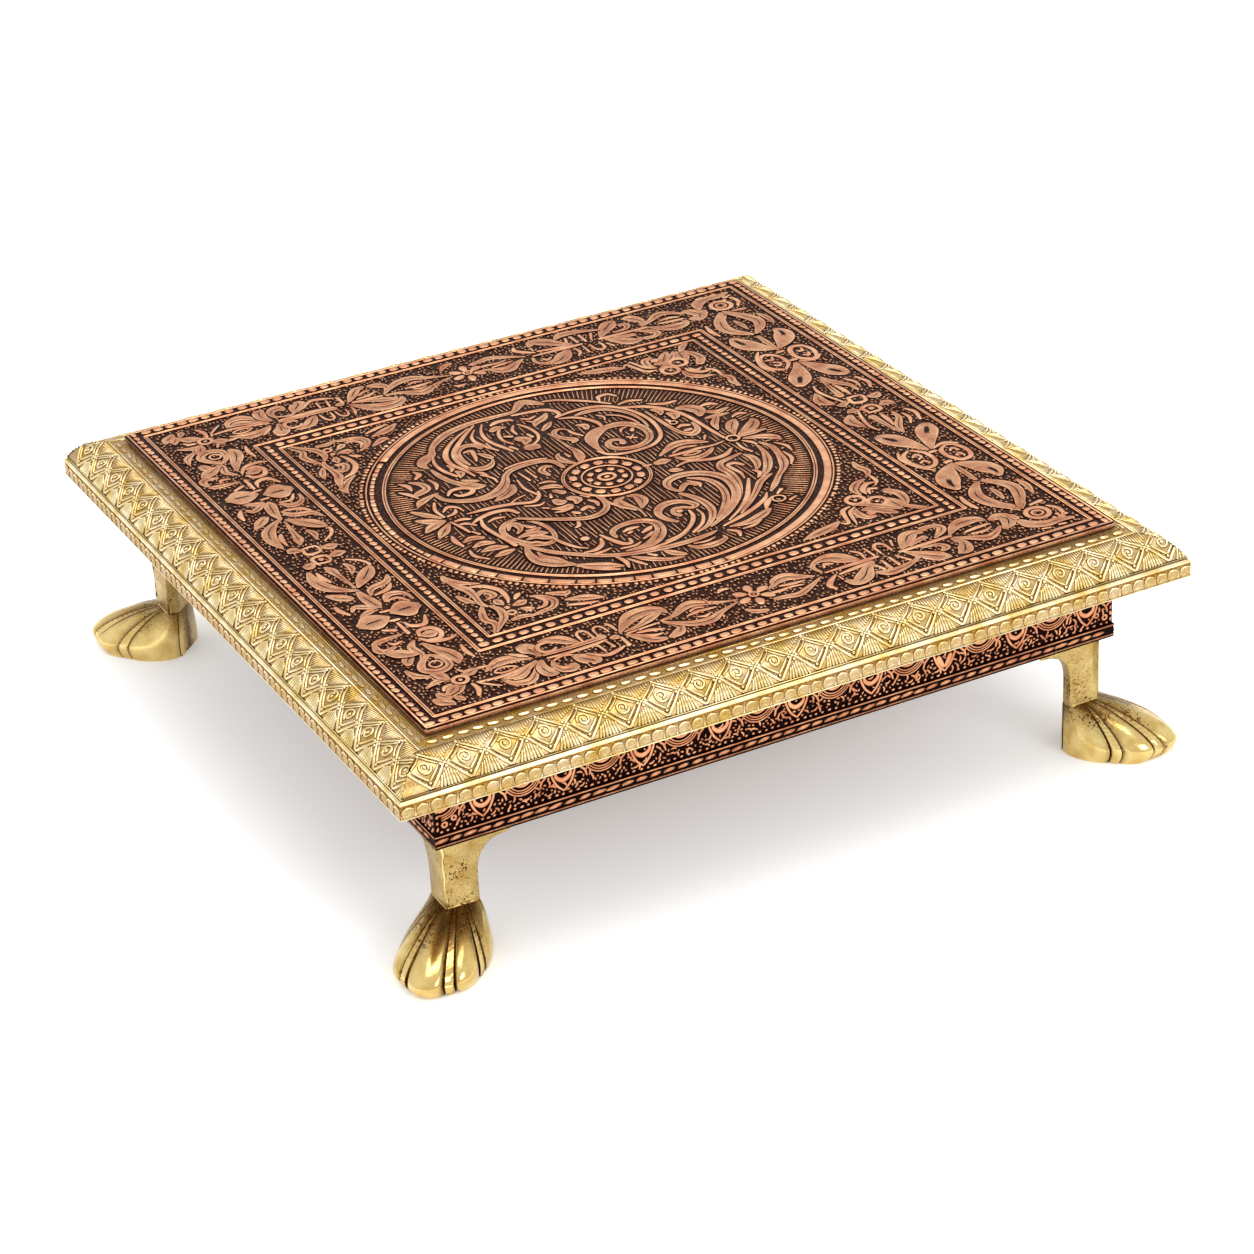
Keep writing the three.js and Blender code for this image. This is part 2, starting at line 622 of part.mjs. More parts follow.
function leg() {
  const other = wing().applyMatrix4(new THREE.Matrix4().makeBasis(
    new THREE.Vector3(0, 1, 0),
    new THREE.Vector3(1, 0, 0),
    new THREE.Vector3(0, 0, 1),
  ));
  // Swapping X and Y turns the faces inside out, so each triangle is turned back.
  const flipped = (other.index ? other.toNonIndexed() : other).clone();
  const p = flipped.attributes.position;
  for (let i = 0; i < p.count; i += 3) {
    const first = [p.getX(i), p.getY(i), p.getZ(i)];
    p.setXYZ(i, p.getX(i + 1), p.getY(i + 1), p.getZ(i + 1));
    p.setXYZ(i + 1, ...first);
  }
  const whole = join(wing(), flipped, flange(), shaftCore(), paw()).translate(-legHalf, -legHalf, 0);
  return cut(whole, ...screwHoles);
}

// Assembly
const table = new THREE.Group();

function add(name, geometry, material, quarter = 0) {
  const mesh = new THREE.Mesh(geometry, material);
  mesh.name = name;
  mesh.rotation.z = (quarter * Math.PI) / 2;
  table.add(mesh);
  return mesh;
}

function addFasteners(name, geometry, material, places, z, quarter, turn = 0) {
  const side = new THREE.Group();
  side.rotation.z = (quarter * Math.PI) / 2;
  places.forEach(([x, y], i) => {
    const mesh = new THREE.Mesh(geometry, material);
    mesh.name = `${name}_${i + 1}`;
    mesh.position.set(x, y, z);
    mesh.rotation.x = turn;
    side.add(mesh);
  });
  table.add(side);
}

add("base_board", boardGeometry, mangoWood);
add("plate_backing", backingGeometry, hardboard);
add("copper_plate", copperPlate(), copperSheet);

const edgeGeometry = brassEdge();
const sheetGeometry = apronSheet();
["front", "right", "back", "left"].forEach((side, quarter) => {
  add(`brass_edge_${side}`, edgeGeometry, brassSheet, quarter);
  add(`apron_rail_${side}`, railGeometry, mangoWood, quarter);
  add(`apron_copper_${side}`, sheetGeometry, copperSheet, quarter);
  addFasteners(`rail_nail_${side}`, nailSolid, steel, nailPlaces, boardTop, quarter, Math.PI);
  addFasteners(`edge_pin_${side}`, pinSolid, castBrass, edgePinPlaces, edgePinHeadZ, quarter);
  addFasteners(`apron_pin_${side}`, pinSolid, castBrass, apronPinPlaces, apronPinHeadZ, quarter);
});

const legGeometry = leg();
const blockGeometry = cornerBlock();
["front_left", "front_right", "back_right", "back_left"].forEach((corner, quarter) => {
  add(`corner_block_${corner}`, blockGeometry, mangoWood, quarter);
  add(`leg_${corner}`, legGeometry, castBrass, quarter);
  addFasteners(`leg_screw_${corner}`, screwSolid, steel, screwPlaces, screwHeadZ, quarter);
});

export default table;
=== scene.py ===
import math
import random

import bpy
import numpy as np
from mathutils import Matrix, Vector


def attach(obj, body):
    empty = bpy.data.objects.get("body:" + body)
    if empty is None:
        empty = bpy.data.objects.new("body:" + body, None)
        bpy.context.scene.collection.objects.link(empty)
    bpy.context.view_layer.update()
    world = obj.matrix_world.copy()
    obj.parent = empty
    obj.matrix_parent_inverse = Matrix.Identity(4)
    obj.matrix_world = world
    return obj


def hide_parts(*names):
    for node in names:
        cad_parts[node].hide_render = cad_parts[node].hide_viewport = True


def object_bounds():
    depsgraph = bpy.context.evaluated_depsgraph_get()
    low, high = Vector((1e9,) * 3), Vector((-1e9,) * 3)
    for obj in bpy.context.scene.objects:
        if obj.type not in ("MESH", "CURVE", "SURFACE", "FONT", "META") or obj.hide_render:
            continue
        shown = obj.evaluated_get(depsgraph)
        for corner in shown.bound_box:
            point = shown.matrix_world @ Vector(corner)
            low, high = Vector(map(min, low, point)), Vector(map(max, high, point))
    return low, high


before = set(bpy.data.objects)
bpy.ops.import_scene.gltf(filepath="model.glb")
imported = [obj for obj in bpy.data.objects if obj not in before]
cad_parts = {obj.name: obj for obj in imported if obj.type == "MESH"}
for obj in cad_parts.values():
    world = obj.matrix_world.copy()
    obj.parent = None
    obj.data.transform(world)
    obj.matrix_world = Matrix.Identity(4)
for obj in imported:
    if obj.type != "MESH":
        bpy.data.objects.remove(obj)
cad_low, cad_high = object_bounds()


# Studio: the table stands on a pale floor under a large soft lamp, seen from above its front left
# corner with a long lens. Mirror-like metal sees the same white surroundings as the camera does.
# Places and sizes in the studio are in metres, and on the table they are in millimetres.
MM = 0.001
CAMERA_AZIMUTH = math.radians(-26.78)
CAMERA_ELEVATION = math.radians(28.1)
CAMERA_ROLL = math.radians(-3.14)
CAMERA_DISTANCE = 1.2808
CAMERA_SIDE_STEP = 0.0100
CAMERA_UP_STEP = -0.0551
LENS = 100.9
SENSOR = 36
FLOOR_HALF = 4.0
FLOOR_PAPER = (0.93, 0.945, 0.955, 1)
FLOOR_GLOW = 0.29
WHITE = (1, 1, 1, 1)
SURROUNDINGS_LEVEL = 0.95
KEY_LAMP = {"place": (0.12, -0.05, 1.6), "size": (1.3, 1.3), "power": 14}
FRONT_LAMP = {"place": (0.5, -1.7, 1.1), "size": (0.9, 0.5), "power": 7}


def clear_selection():
    if bpy.context.mode != "OBJECT":
        bpy.ops.object.mode_set(mode="OBJECT")
    bpy.ops.object.select_all(action="DESELECT")


def feed(tree, socket, value):
    """Links another node's output to a socket, or sets the socket to a plain value."""
    if isinstance(value, bpy.types.NodeSocket):
        tree.links.new(value, socket)
    else:
        socket.default_value = value


def feed_inputs(tree, node, **inputs):
    for name, value in inputs.items():
        feed(tree, node.inputs[name.replace("_", " ")], value)


def new_node(tree, kind, settings=None, **inputs):
    node = tree.nodes.new(kind)
    for name, value in (settings or {}).items():
        setattr(node, name, value)
    feed_inputs(tree, node, **inputs)
    return node


def calculate(tree, operation, *values, clamp=False):
    node = new_node(tree, "ShaderNodeMath", {"operation": operation, "use_clamp": clamp})
    for socket, value in zip(node.inputs, values):
        feed(tree, socket, value)
    return node.outputs[0]


def colour(red, green, blue):
    """A colour given as it looks on screen, 0 to 255, in the linear light that shaders use."""
    shares = [channel / 255 for channel in (red, green, blue)]
    return [s / 12.92 if s <= 0.04045 else ((s + 0.055) / 1.055) ** 2.4 for s in shares] + [1]


def place_camera():
    az, el = CAMERA_AZIMUTH, CAMERA_ELEVATION
    back = Vector((math.sin(az) * math.cos(el), -math.cos(az) * math.cos(el), math.sin(el)))
    level = (-back).cross(Vector((0, 0, 1))).normalized()
    upright = level.cross(-back)
    right = math.cos(CAMERA_ROLL) * level + math.sin(CAMERA_ROLL) * upright
    up = -math.sin(CAMERA_ROLL) * level + math.cos(CAMERA_ROLL) * upright
    middle = Vector((0, 0, cad_high.z))
    spot = middle + back * CAMERA_DISTANCE + right * CAMERA_SIDE_STEP + up * CAMERA_UP_STEP
    bpy.ops.object.camera_add()
    camera = bpy.context.object
    camera.name = "camera"
    camera.data.lens = LENS
    camera.data.sensor_width = SENSOR
    turn = Matrix((right, up, back)).transposed().to_4x4()
    camera.matrix_world = Matrix.Translation(spot) @ turn
    bpy.context.scene.camera = camera


def add_lamp(name, place, size, power):
    bpy.ops.object.light_add(type="AREA", location=place)
    lamp = bpy.context.object
    lamp.name = name
    lamp.data.shape = "RECTANGLE"
    lamp.data.size, lamp.data.size_y = size
    lamp.data.energy = power
    lamp.rotation_euler = (-Vector(place)).to_track_quat("-Z", "Y").to_euler()


def seen_by_camera(tree, *rays):
    """One for the kinds of ray that the camera sees straight or in a mirror, and zero for all others."""
    path = new_node(tree, "ShaderNodeLightPath").outputs
    seen = path["Is Camera Ray"]
    for ray in rays:
        seen = calculate(tree, "MAXIMUM", seen, path[ray])
    return seen


def white_surroundings(level):
    world = bpy.data.worlds.new("studio")
    bpy.context.scene.world = world
    world.use_nodes = True
    tree = world.node_tree
    tree.nodes.clear()
    seen = seen_by_camera(tree, "Is Glossy Ray", "Is Transmission Ray")
    strength = calculate(tree, "MULTIPLY_ADD", seen, 1 - level, level)
    sky = new_node(tree, "ShaderNodeBackground", Color=WHITE, Strength=strength)
    new_node(tree, "ShaderNodeOutputWorld", Surface=sky.outputs[0])


def pale_floor():
    bpy.ops.mesh.primitive_plane_add(size=2 * FLOOR_HALF)
    floor = bpy.context.object
    floor.name = "floor"
    paper = bpy.data.materials.new("floor_paper")
    paper.use_nodes = True
    tree = paper.node_tree
    seen = seen_by_camera(tree, "Is Glossy Ray")
    feed_inputs(
        tree, tree.nodes["Principled BSDF"],
        Base_Color=FLOOR_PAPER, Roughness=0.9, Specular_IOR_Level=0.0,
        Emission_Color=WHITE, Emission_Strength=calculate(tree, "MULTIPLY", seen, FLOOR_GLOW),
    )
    floor.data.materials.append(paper)


bpy.context.scene.view_settings.view_transform = "Standard"
clear_selection()
place_camera()
pale_floor()
white_surroundings(SURROUNDINGS_LEVEL)
add_lamp("key_lamp", **KEY_LAMP)
add_lamp("front_lamp", **FRONT_LAMP)


# Base board, rails and corner blocks: mango wood, sawn and planed, hidden by the metal except from
# below. The hardboard that lifts the copper plate lies glued on the board.
WOOD_PALE = colour(176, 128, 82)
WOOD_DARK = colour(112, 72, 42)
BLOCK_PALE = colour(190, 146, 96)
HARDBOARD_PALE = colour(110, 80, 54)
HARDBOARD_DARK = colour(76, 52, 34)
FIBRES_PER_RING = 14
FIBRE_TONE = 0.4
PLANED_ROUGHNESS = 0.5
PLANED_DEPTH = 0.0002


def new_material(name):
    material = bpy.data.materials.new(name)
    material.use_nodes = True
    tree = material.node_tree
    return material, tree, tree.nodes["Principled BSDF"]


def mix_colours(tree, share, first, second):
    """The first colour passing into the second as the share rises."""
    mix = new_node(tree, "ShaderNodeMix", {"data_type": "RGBA"})
    feed(tree, mix.inputs[0], share)
    feed(tree, mix.inputs[6], first)
    feed(tree, mix.inputs[7], second)
    return mix.outputs[2]


def noise(tree, place, scale, detail, **more):
    return new_node(tree, "ShaderNodeTexNoise", Vector=place, Scale=scale, Detail=detail, **more).outputs


def spread(tree, value, low, high, to_low=0.0, to_high=1.0, curve="LINEAR"):
    """A value brought from one range to another, and held at the ends."""
    return new_node(
        tree, "ShaderNodeMapRange", {"interpolation_type": curve},
        Value=value, From_Min=low, From_Max=high, To_Min=to_low, To_Max=to_high,
    ).outputs[0]


def bump(tree, height, depth, strength):
    return new_node(tree, "ShaderNodeBump", Height=height, Distance=depth, Strength=strength).outputs[0]


def wood_material(name, pale, dark, stretch, ring_scale):
    material, tree, shader = new_material(name)
    place = new_node(tree, "ShaderNodeTexCoord")
    mapping = new_node(tree, "ShaderNodeMapping", Vector=place.outputs["Object"], Scale=stretch)
    grain_place = mapping.outputs[0]
    rings = noise(tree, grain_place, ring_scale, 5.0, Distortion=0.6)["Fac"]
    fibre = noise(tree, grain_place, ring_scale * FIBRES_PER_RING, 3.0)["Fac"]
    tone = calculate(tree, "MULTIPLY_ADD", fibre, FIBRE_TONE, rings)
    feed_inputs(
        tree, shader,
        Base_Color=mix_colours(tree, spread(tree, tone, 0.5, 0.9), pale, dark),
        Roughness=calculate(tree, "MULTIPLY_ADD", fibre, 0.3, PLANED_ROUGHNESS),
        Normal=bump(tree, fibre, PLANED_DEPTH, 0.6),
    )
    return material


def dress(node_names, material):
    for name in node_names:
        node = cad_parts[name]
        node.data.materials.clear()
        node.data.materials.append(material)


SIDES = ["front", "right", "back", "left"]
CORNERS = ["front_left", "front_right", "back_right", "back_left"]
board_wood = wood_material("board_wood", WOOD_PALE, WOOD_DARK, (1, 0.06, 1), 90)
block_wood = wood_material("block_wood", BLOCK_PALE, WOOD_DARK, (1, 1, 0.08), 120)
rail_wood_along = wood_material("rail_wood_along", WOOD_PALE, WOOD_DARK, (0.06, 1, 1), 110)
rail_wood_across = wood_material("rail_wood_across", WOOD_PALE, WOOD_DARK, (1, 0.06, 1), 110)
hardboard = wood_material("hardboard", HARDBOARD_PALE, HARDBOARD_DARK, (1, 1, 1), 500)
dress(["base_board"], board_wood)
dress(["plate_backing"], hardboard)
dress(["apron_rail_front", "apron_rail_back"], rail_wood_along)
dress(["apron_rail_left", "apron_rail_right"], rail_wood_across)
dress(["corner_block_" + corner for corner in CORNERS], block_wood)


# Screws, nails and pins: zinc-plated steel screws hold the legs, steel nails hold the rails, and
# small brass pins hold the turned-under edges of the sheets.
HANDLING_SPOTS = 900
HANDLING_DULLNESS = 0.25


def plain_metal(name, bright, dull, roughness):
    material, tree, shader = new_material(name)
    place = new_node(tree, "ShaderNodeTexCoord")
    spots = noise(tree, place.outputs["Object"], HANDLING_SPOTS, 4.0)["Fac"]
    feed_inputs(
        tree, shader, Base_Color=mix_colours(tree, spots, bright, dull), Metallic=1.0,
        Roughness=calculate(tree, "MULTIPLY_ADD", spots, HANDLING_DULLNESS, roughness),
    )
    return material


steel = plain_metal("steel", colour(196, 198, 202), colour(140, 142, 146), 0.22)
pin_brass = plain_metal("pin_brass", colour(226, 194, 112), colour(160, 120, 58), 0.25)
for name in sorted(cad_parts):
    if name.startswith(("leg_screw_", "rail_nail_")):
        dress([name], steel)
    if name.startswith(("edge_pin_", "apron_pin_")):
        dress([name], pin_brass)


# Chasing: every line, leaf and bead is punched up from the back of the sheet. A stroke is laid out
# flat in millimetres, along and across its sheet, and then set onto the metal at its height.
# A section lists shares of the half width and of the height, and its foot lies in the ground.
FOOT = -0.4
FLAT_SECTION = [(-1, FOOT), (-0.86, 0.72), (-0.5, 1), (0.5, 1), (0.86, 0.72), (1, FOOT)]
ROUND_SECTION = [(-1, FOOT), (-0.8, 0.6), (-0.4, 0.92), (0, 1), (0.4, 0.92), (0.8, 0.6), (1, FOOT)]


def mirrored_section(*right_half):
    """A section from its right half, listed from the vein in its middle outwards."""
    return [(-out, up) for out, up in right_half[::-1]] + list(right_half)


VEINED_SECTION = mirrored_section((0.06, 0.1), (0.12, 0.7), (0.6, 0.76), (0.8, 1), (0.93, 0.85), (1, FOOT))
PETAL_SECTION = mirrored_section((0.05, 0.1), (0.1, 0.68), (0.72, 0.74), (0.87, 1), (0.95, 0.85), (1, FOOT))
LOBE_SECTION = mirrored_section((0.15, 0.05), (0.24, 0.7), (0.74, 0.76), (0.88, 1), (0.95, 0.85), (1, FOOT))
DOUBLE_SECTION = mirrored_section((0.1, 0.25), (0.3, 0.9), (0.6, 1), (0.85, 0.85), (1, FOOT))
VEIN_HEIGHT = 0.3  # what lies lower in a section is its vein
VEIN_FILLED = 0.72
VEIN_FADE = 0.12
VEIN_POINTS = 6
THINNEST = 0.12
TIP_REACH = 0.6
TIP_WIDTH = 0.45
TIP_HEIGHT = 0.7
CURVE_STEPS = 4
MOAT_FALL = 0.1
LAYERS = [(0.02, 0.5), (0.5, 0.25), (0.75, 0.25)]  # where strokes that cross start, and how far they rise
LAYER_GAP = 0.1
BEAD_SHOULDER = (0.94, 0.7)
BEAD_CROWN = 0.97
ROUND_CROWN_WIDTH = 0.55
SQUARE_CROWN_WIDTH = 0.8
PLACES_AT_A_TIME = 400


def new_relief(rise, moat=0.0):
    """A relief of a height, whose strokes may carry a sunk moat of a width round them, painted darker than
    the ground as shade.
    """
    return {
        "rise": rise, "moat": moat, "layer": None,
        "points": [], "faces": [], "metal": [], "spines": [], "layers": [],
    }


def free_layer(relief, line):
    """The lowest of the layers in which a stroke crosses none made before it."""
    taken = set()
    low, high = line[:, :2].min(0), line[:, :2].max(0)
    for spine, layer in relief["layers"]:
        far = line[:, 2].max() + LAYER_GAP + spine[:, 2].max()
        if (spine[:, :2].min(0) > high + far).any() or (spine[:, :2].max(0) < low - far).any():
            continue
        apart = np.hypot(line[:, 0][:, None] - spine[:, 0], line[:, 1][:, None] - spine[:, 1])
        if (apart < line[:, 2][:, None] + spine[:, 2] + LAYER_GAP).any():
            taken.add(layer)
    return min(set(range(len(LAYERS))) - taken, default=len(LAYERS) - 1)


def add_shell(relief, points, faces, metal):
    first = len(relief["metal"])
    relief["points"].append(np.asarray(points, float))
    relief["faces"] += [[first + i for i in face] for face in faces]
    relief["metal"] += list(metal)


def smooth_line(points, steps):
    """Points on an even curve through the chosen ones, with the half width carried along."""
    chosen = np.array(points, float)
    ends = np.vstack([2 * chosen[0] - chosen[1], chosen, 2 * chosen[-1] - chosen[-2]])
    t = (np.arange(steps) / steps)[:, None]
    runs = []
    for i in range(len(chosen) - 1):
        a, b, c, d = ends[i:i + 4]
        cubic = (3 * b - a - 3 * c + d) * t ** 3
        runs.append(0.5 * (2 * b + (c - a) * t + (2 * a - 5 * b + 4 * c - d) * t ** 2 + cubic))
    return np.vstack(runs + [chosen[-1:]])


def steps_round(count):
    """Each place in a ring with the next one."""
    return [(i, (i + 1) % count) for i in range(count)]


def bar(relief, line, closed, section, lift=1.0, cut=None):
    """A solid bar along a line of x, y, half width and height share, with a section of its own."""
    middle = line[:, :2]
    if closed:
        ahead, behind = np.roll(middle, -1, 0), np.roll(middle, 1, 0)
    else:
        ahead, behind = np.vstack([middle[1:], middle[-1:]]), np.vstack([middle[:1], middle[:-1]])
    along = ahead - behind
    along /= np.maximum(np.linalg.norm(along, axis=1), 1e-6)[:, None]
    across = np.stack([-along[:, 1], along[:, 0]], 1)
    out = np.array([s for s, _ in section])
    up = np.tile([h for _, h in section], (len(line), 1))
    if cut is not None:
        in_vein = (up > 0) & (up < VEIN_HEIGHT)
        up = np.where(in_vein, VEIN_FILLED - (VEIN_FILLED - up) * cut[:, None], up)
    spread = line[:, 2][:, None] * out[None, :]
    base, share = (0.0, 1.0) if relief["layer"] is None else LAYERS[relief["layer"]]
    high = np.where(up > 0, base + share * up * line[:, 3][:, None] * lift, up)
    metal = np.clip(up, 0, 1) * min(1, lift)
    # A moat is sunk a little into the ground and given the darkest value: painted shade beside the stroke.
    if relief["moat"]:
        beyond = line[:, 2:3] + relief["moat"]
        spread = np.hstack([-beyond, spread, beyond])
        low = np.full_like(beyond, -MOAT_FALL)
        skirt = np.full_like(beyond, base + MOAT_FALL * share)
        high = np.hstack([low, skirt, high[:, 1:-1], skirt, low])
        dark = np.full_like(beyond, -1)
        metal = np.hstack([dark, dark, metal[:, 1:-1], dark, dark])
    flat = middle[:, None, :] + across[:, None, :] * spread[..., None]
    points = np.concatenate([flat, (high * relief["rise"])[..., None]], 2).reshape(-1, 3)
    n, m = high.shape
    faces = []
    for k in range(n if closed else n - 1):
        a, b = k * m, ((k + 1) % n) * m
        faces += [[a + j, b + j, b + i, a + i] for i, j in steps_round(m)]
    if not closed:
        faces += [list(range(m))[::-1], [(n - 1) * m + j for j in range(m)]]
    add_shell(relief, points, faces, metal.reshape(-1))
    relief["spines"].append(line[:, :3])


def stroke(relief, points, section=FLAT_SECTION, lift=1.0, steps=CURVE_STEPS, opening=(0.3, 0.8)):
    """A raised stroke with rounded ends through given points of x, y and half width."""
    line = smooth_line(points, steps)
    line[:, 2] = np.maximum(line[:, 2], THINNEST)
    tips = line[[0, -1]]
    for tip, inner in zip(tips, line[[1, -2]]):
        step = (tip - inner)[:2]
        tip[:2] += step / max(np.hypot(*step), 1e-6) * tip[2] * TIP_REACH
        tip[2] *= TIP_WIDTH
    line = np.vstack([tips[:1], line, tips[1:]])
    if relief["layer"] is not None:
        relief["layer"] = free_layer(relief, line)
        relief["layers"].append((line[:, :3], relief["layer"]))
    share = np.ones(len(line))
    share[[0, -1]] = TIP_HEIGHT
    place = np.linspace(0, 1, len(line))
    cut = np.clip(np.minimum(place - opening[0], opening[1] - place) / VEIN_FADE, 0, 1)
    line = np.column_stack([line, share])
    bar(relief, line, False, section, lift, cut if len(line) > VEIN_POINTS else None)


def ring(relief, centre, radius, half_width, section=FLAT_SECTION, lift=1.0, steps=24, squash=1.0):
    angles = np.linspace(0, 2 * math.pi, steps, endpoint=False)
    x = centre[0] + radius * np.cos(angles)
    y = centre[1] + radius * squash * np.sin(angles)
    line = np.column_stack([x, y, np.full(steps, half_width), np.ones(steps)])
    bar(relief, line, True, section, lift)


def ring_faces(rings, count):
    """The faces between rings of as many points, each ring above the last."""
    faces = []
    for low in range(0, (rings - 1) * count, count):
        faces += [[low + i, low + j, low + count + j, low + count + i] for i, j in steps_round(count)]
    return faces


def dome_faces(rings, count):
    """The faces of a dome: its flat foot, its rings and the fan round its top point."""
    last = (rings - 1) * count
    fan = [[last + i, last + j, last + count] for i, j in steps_round(count)]
    return [list(range(count))[::-1]] + ring_faces(rings, count) + fan


def bead(
    relief, centre, half_length, half_width, turn=0.0, lift=1.0,
    sides=8, tilt=0.0, shine=1.0, round_off=1.0,
):
    """A round or oval bead punched up as a small dome, which may rise towards its far end."""
    base, share = (0.0, 1.0) if relief["layer"] is None else LAYERS[relief["layer"]]
    # A moat round a bead is sunk and given the darkest value: painted shade beside the bead.
    levels = [(1, relief["moat"], -MOAT_FALL), (1, 0, MOAT_FALL)] if relief["moat"] else [(1, 0, FOOT)]
    crown_width = ROUND_CROWN_WIDTH if round_off == 1 else SQUARE_CROWN_WIDTH
    levels += [(BEAD_SHOULDER[0], 0, BEAD_SHOULDER[1]), (crown_width, 0, BEAD_CROWN)]
    angles = np.arange(sides) * 2 * math.pi / sides
    c, s = np.cos(angles), np.sin(angles)
    cx, sy = np.sign(c) * np.abs(c) ** round_off, np.sign(s) * np.abs(s) ** round_off
    points, metal = [], []
    for out, beyond, up in levels:
        x, y = (half_length * out + beyond) * cx, (half_width * out + beyond) * sy
        px = centre[0] + x * math.cos(turn) - y * math.sin(turn)
        py = centre[1] + x * math.sin(turn) + y * math.cos(turn)
        if up > MOAT_FALL:
            raised = base + share * up * lift * (1 + tilt * out * c)
            metal += [up * min(1, lift) * shine] * sides
        else:
            raised = up if up < 0 else base + share * up
            metal += [-1 if relief["moat"] else 0] * sides
        points.append(np.column_stack([px, py, np.ones(sides) * raised * relief["rise"]]))
    points.append(np.array([[centre[0], centre[1], relief["rise"] * (base + share * lift)]]))
    metal.append(min(1, lift) * shine)
    add_shell(relief, np.vstack(points), dome_faces(len(levels), sides), metal)
    relief["spines"].append(np.array([[*centre, min(half_length, half_width)]]))


def free_places(relief, places, gap):
    """Which places lie clear of every stroke made so far."""
    spines = np.vstack(relief["spines"])
    free = np.ones(len(places), bool)
    for chunk in np.array_split(np.arange(len(places)), max(1, len(places) // PLACES_AT_A_TIME)):
        x, y = places[chunk].T[:, :, None]
        apart = np.hypot(x - spines[:, 0], y - spines[:, 1])
        free[chunk] = (apart > spines[:, 2] + gap).all(1)
    return free


def moved(points, place=(0, 0), quarter=0, flip_x=False, flip_y=False):
    """The points of a stroke, mirrored, turned by quarter turns and shifted."""
    turned = []
    for x, y, *width in points:
        x, y = (-x if flip_x else x), (-y if flip_y else y)
        for _ in range(quarter % 4):
            x, y = -y, x
        turned.append((x + place[0], y + place[1], *width))
    return turned


def new_piece(name, mesh):
    piece = bpy.data.objects.new(name, mesh)
    bpy.context.scene.collection.objects.link(piece)
    return piece


def edit_whole(piece):
    """Takes a piece alone into edit mode, with all of it selected."""
    clear_selection()
    bpy.context.view_layer.objects.active = piece
    piece.select_set(True)
    bpy.ops.object.mode_set(mode="EDIT")
    bpy.ops.mesh.select_all(action="SELECT")


def face_outwards(piece):
    edit_whole(piece)
    bpy.ops.mesh.normals_make_consistent(inside=False)
    bpy.ops.object.mode_set(mode="OBJECT")


def keep_metal(mesh, values):
    """Keeps how high each point is punched, which the finish reads as bright metal or patina; in places it is
    also lowered to paint shade or raised to paint a highlight.
    """
    mesh.attributes.new("metal", "FLOAT", "POINT").data.foreach_set("value", values)


def relief_object(name, relief, place_on):
    """The relief as one piece, set onto the metal."""
    flat = np.vstack(relief["points"])
    points = place_on(flat[:, 0], flat[:, 1], flat[:, 2]) * MM
    mesh = bpy.data.meshes.new(name)
    mesh.from_pydata(points.tolist(), [], relief["faces"])
    keep_metal(mesh, relief["metal"])
    mesh.polygons.foreach_set("use_smooth", [True] * len(mesh.polygons))
    chased = new_piece(name, mesh)
    face_outwards(chased)
    return chased


def join_pieces(pieces, name):
    clear_selection()
    for piece in pieces:
        piece.select_set(True)
    bpy.context.view_layer.objects.active = pieces[0]
    bpy.ops.object.join()
    pieces[0].name = name
    pieces[0].data.name = name
    return pieces[0]


# The finish: noises and cells are counted per metre, and pits go deeper than the fine grain.
FINE_GRAIN = 1400.0
BROAD_TONE = 160.0
STIPPLE = (0.45, 1.35)
PIT_CELLS = 760.0
PIT_PATCHES = 95.0
PIT_WAVER = 520.0
PIT_SWAY = 0.0042
PIT_REACH = 0.46
PIT_SHARPNESS = 9.0
PIT_DEPTH = -1.5
POLISHED = 0.66  # metal raised further than this is polished, and shows no pits
POLISH_SHARPNESS = 8.0
GRAIN_ROUGHNESS = 0.12
GRAIN_BUMP = 0.7


METAL_INPUTS = {
    "Raised": 0.0, "Bright": colour(205, 140, 104), "Warm": colour(176, 104, 72), "Deep": colour(52, 32, 28),
    "Low": 0.25, "High": 0.8, "Fleck": 0.5, "Smooth": 0.28, "Dull": 0.6, "Pits": 0.0,
}


def pits(group, spot, given):
    """Holes in patches, with wavering rims, where the metal isn't polished."""
    waver = noise(group, spot, PIT_WAVER, 2.0)["Color"]
    sway = new_node(group, "ShaderNodeVectorMath", {"operation": "SCALE"}, Vector=waver, Scale=PIT_SWAY)
    bent = new_node(group, "ShaderNodeVectorMath", {"operation": "ADD"}, Vector=spot)
    feed(group, bent.inputs[1], sway.outputs[0])
    cells = new_node(
        group, "ShaderNodeTexVoronoi", Vector=bent.outputs[0], Scale=PIT_CELLS, Randomness=1.0
    )
    patch = noise(group, spot, PIT_PATCHES, 2.0)["Fac"]
    reach = spread(group, patch, 0.4, 0.64, 0.0, PIT_REACH)
    hole = calculate(group, "SUBTRACT", reach, cells.outputs["Distance"])
    hole = calculate(group, "MULTIPLY", hole, PIT_SHARPNESS, clamp=True)
    unpolished = calculate(group, "SUBTRACT", POLISHED, given["Raised"])
    unpolished = calculate(group, "MULTIPLY", unpolished, POLISH_SHARPNESS, clamp=True)
    hole = calculate(group, "MULTIPLY", hole, unpolished)
    return calculate(group, "MULTIPLY", hole, given["Pits"])


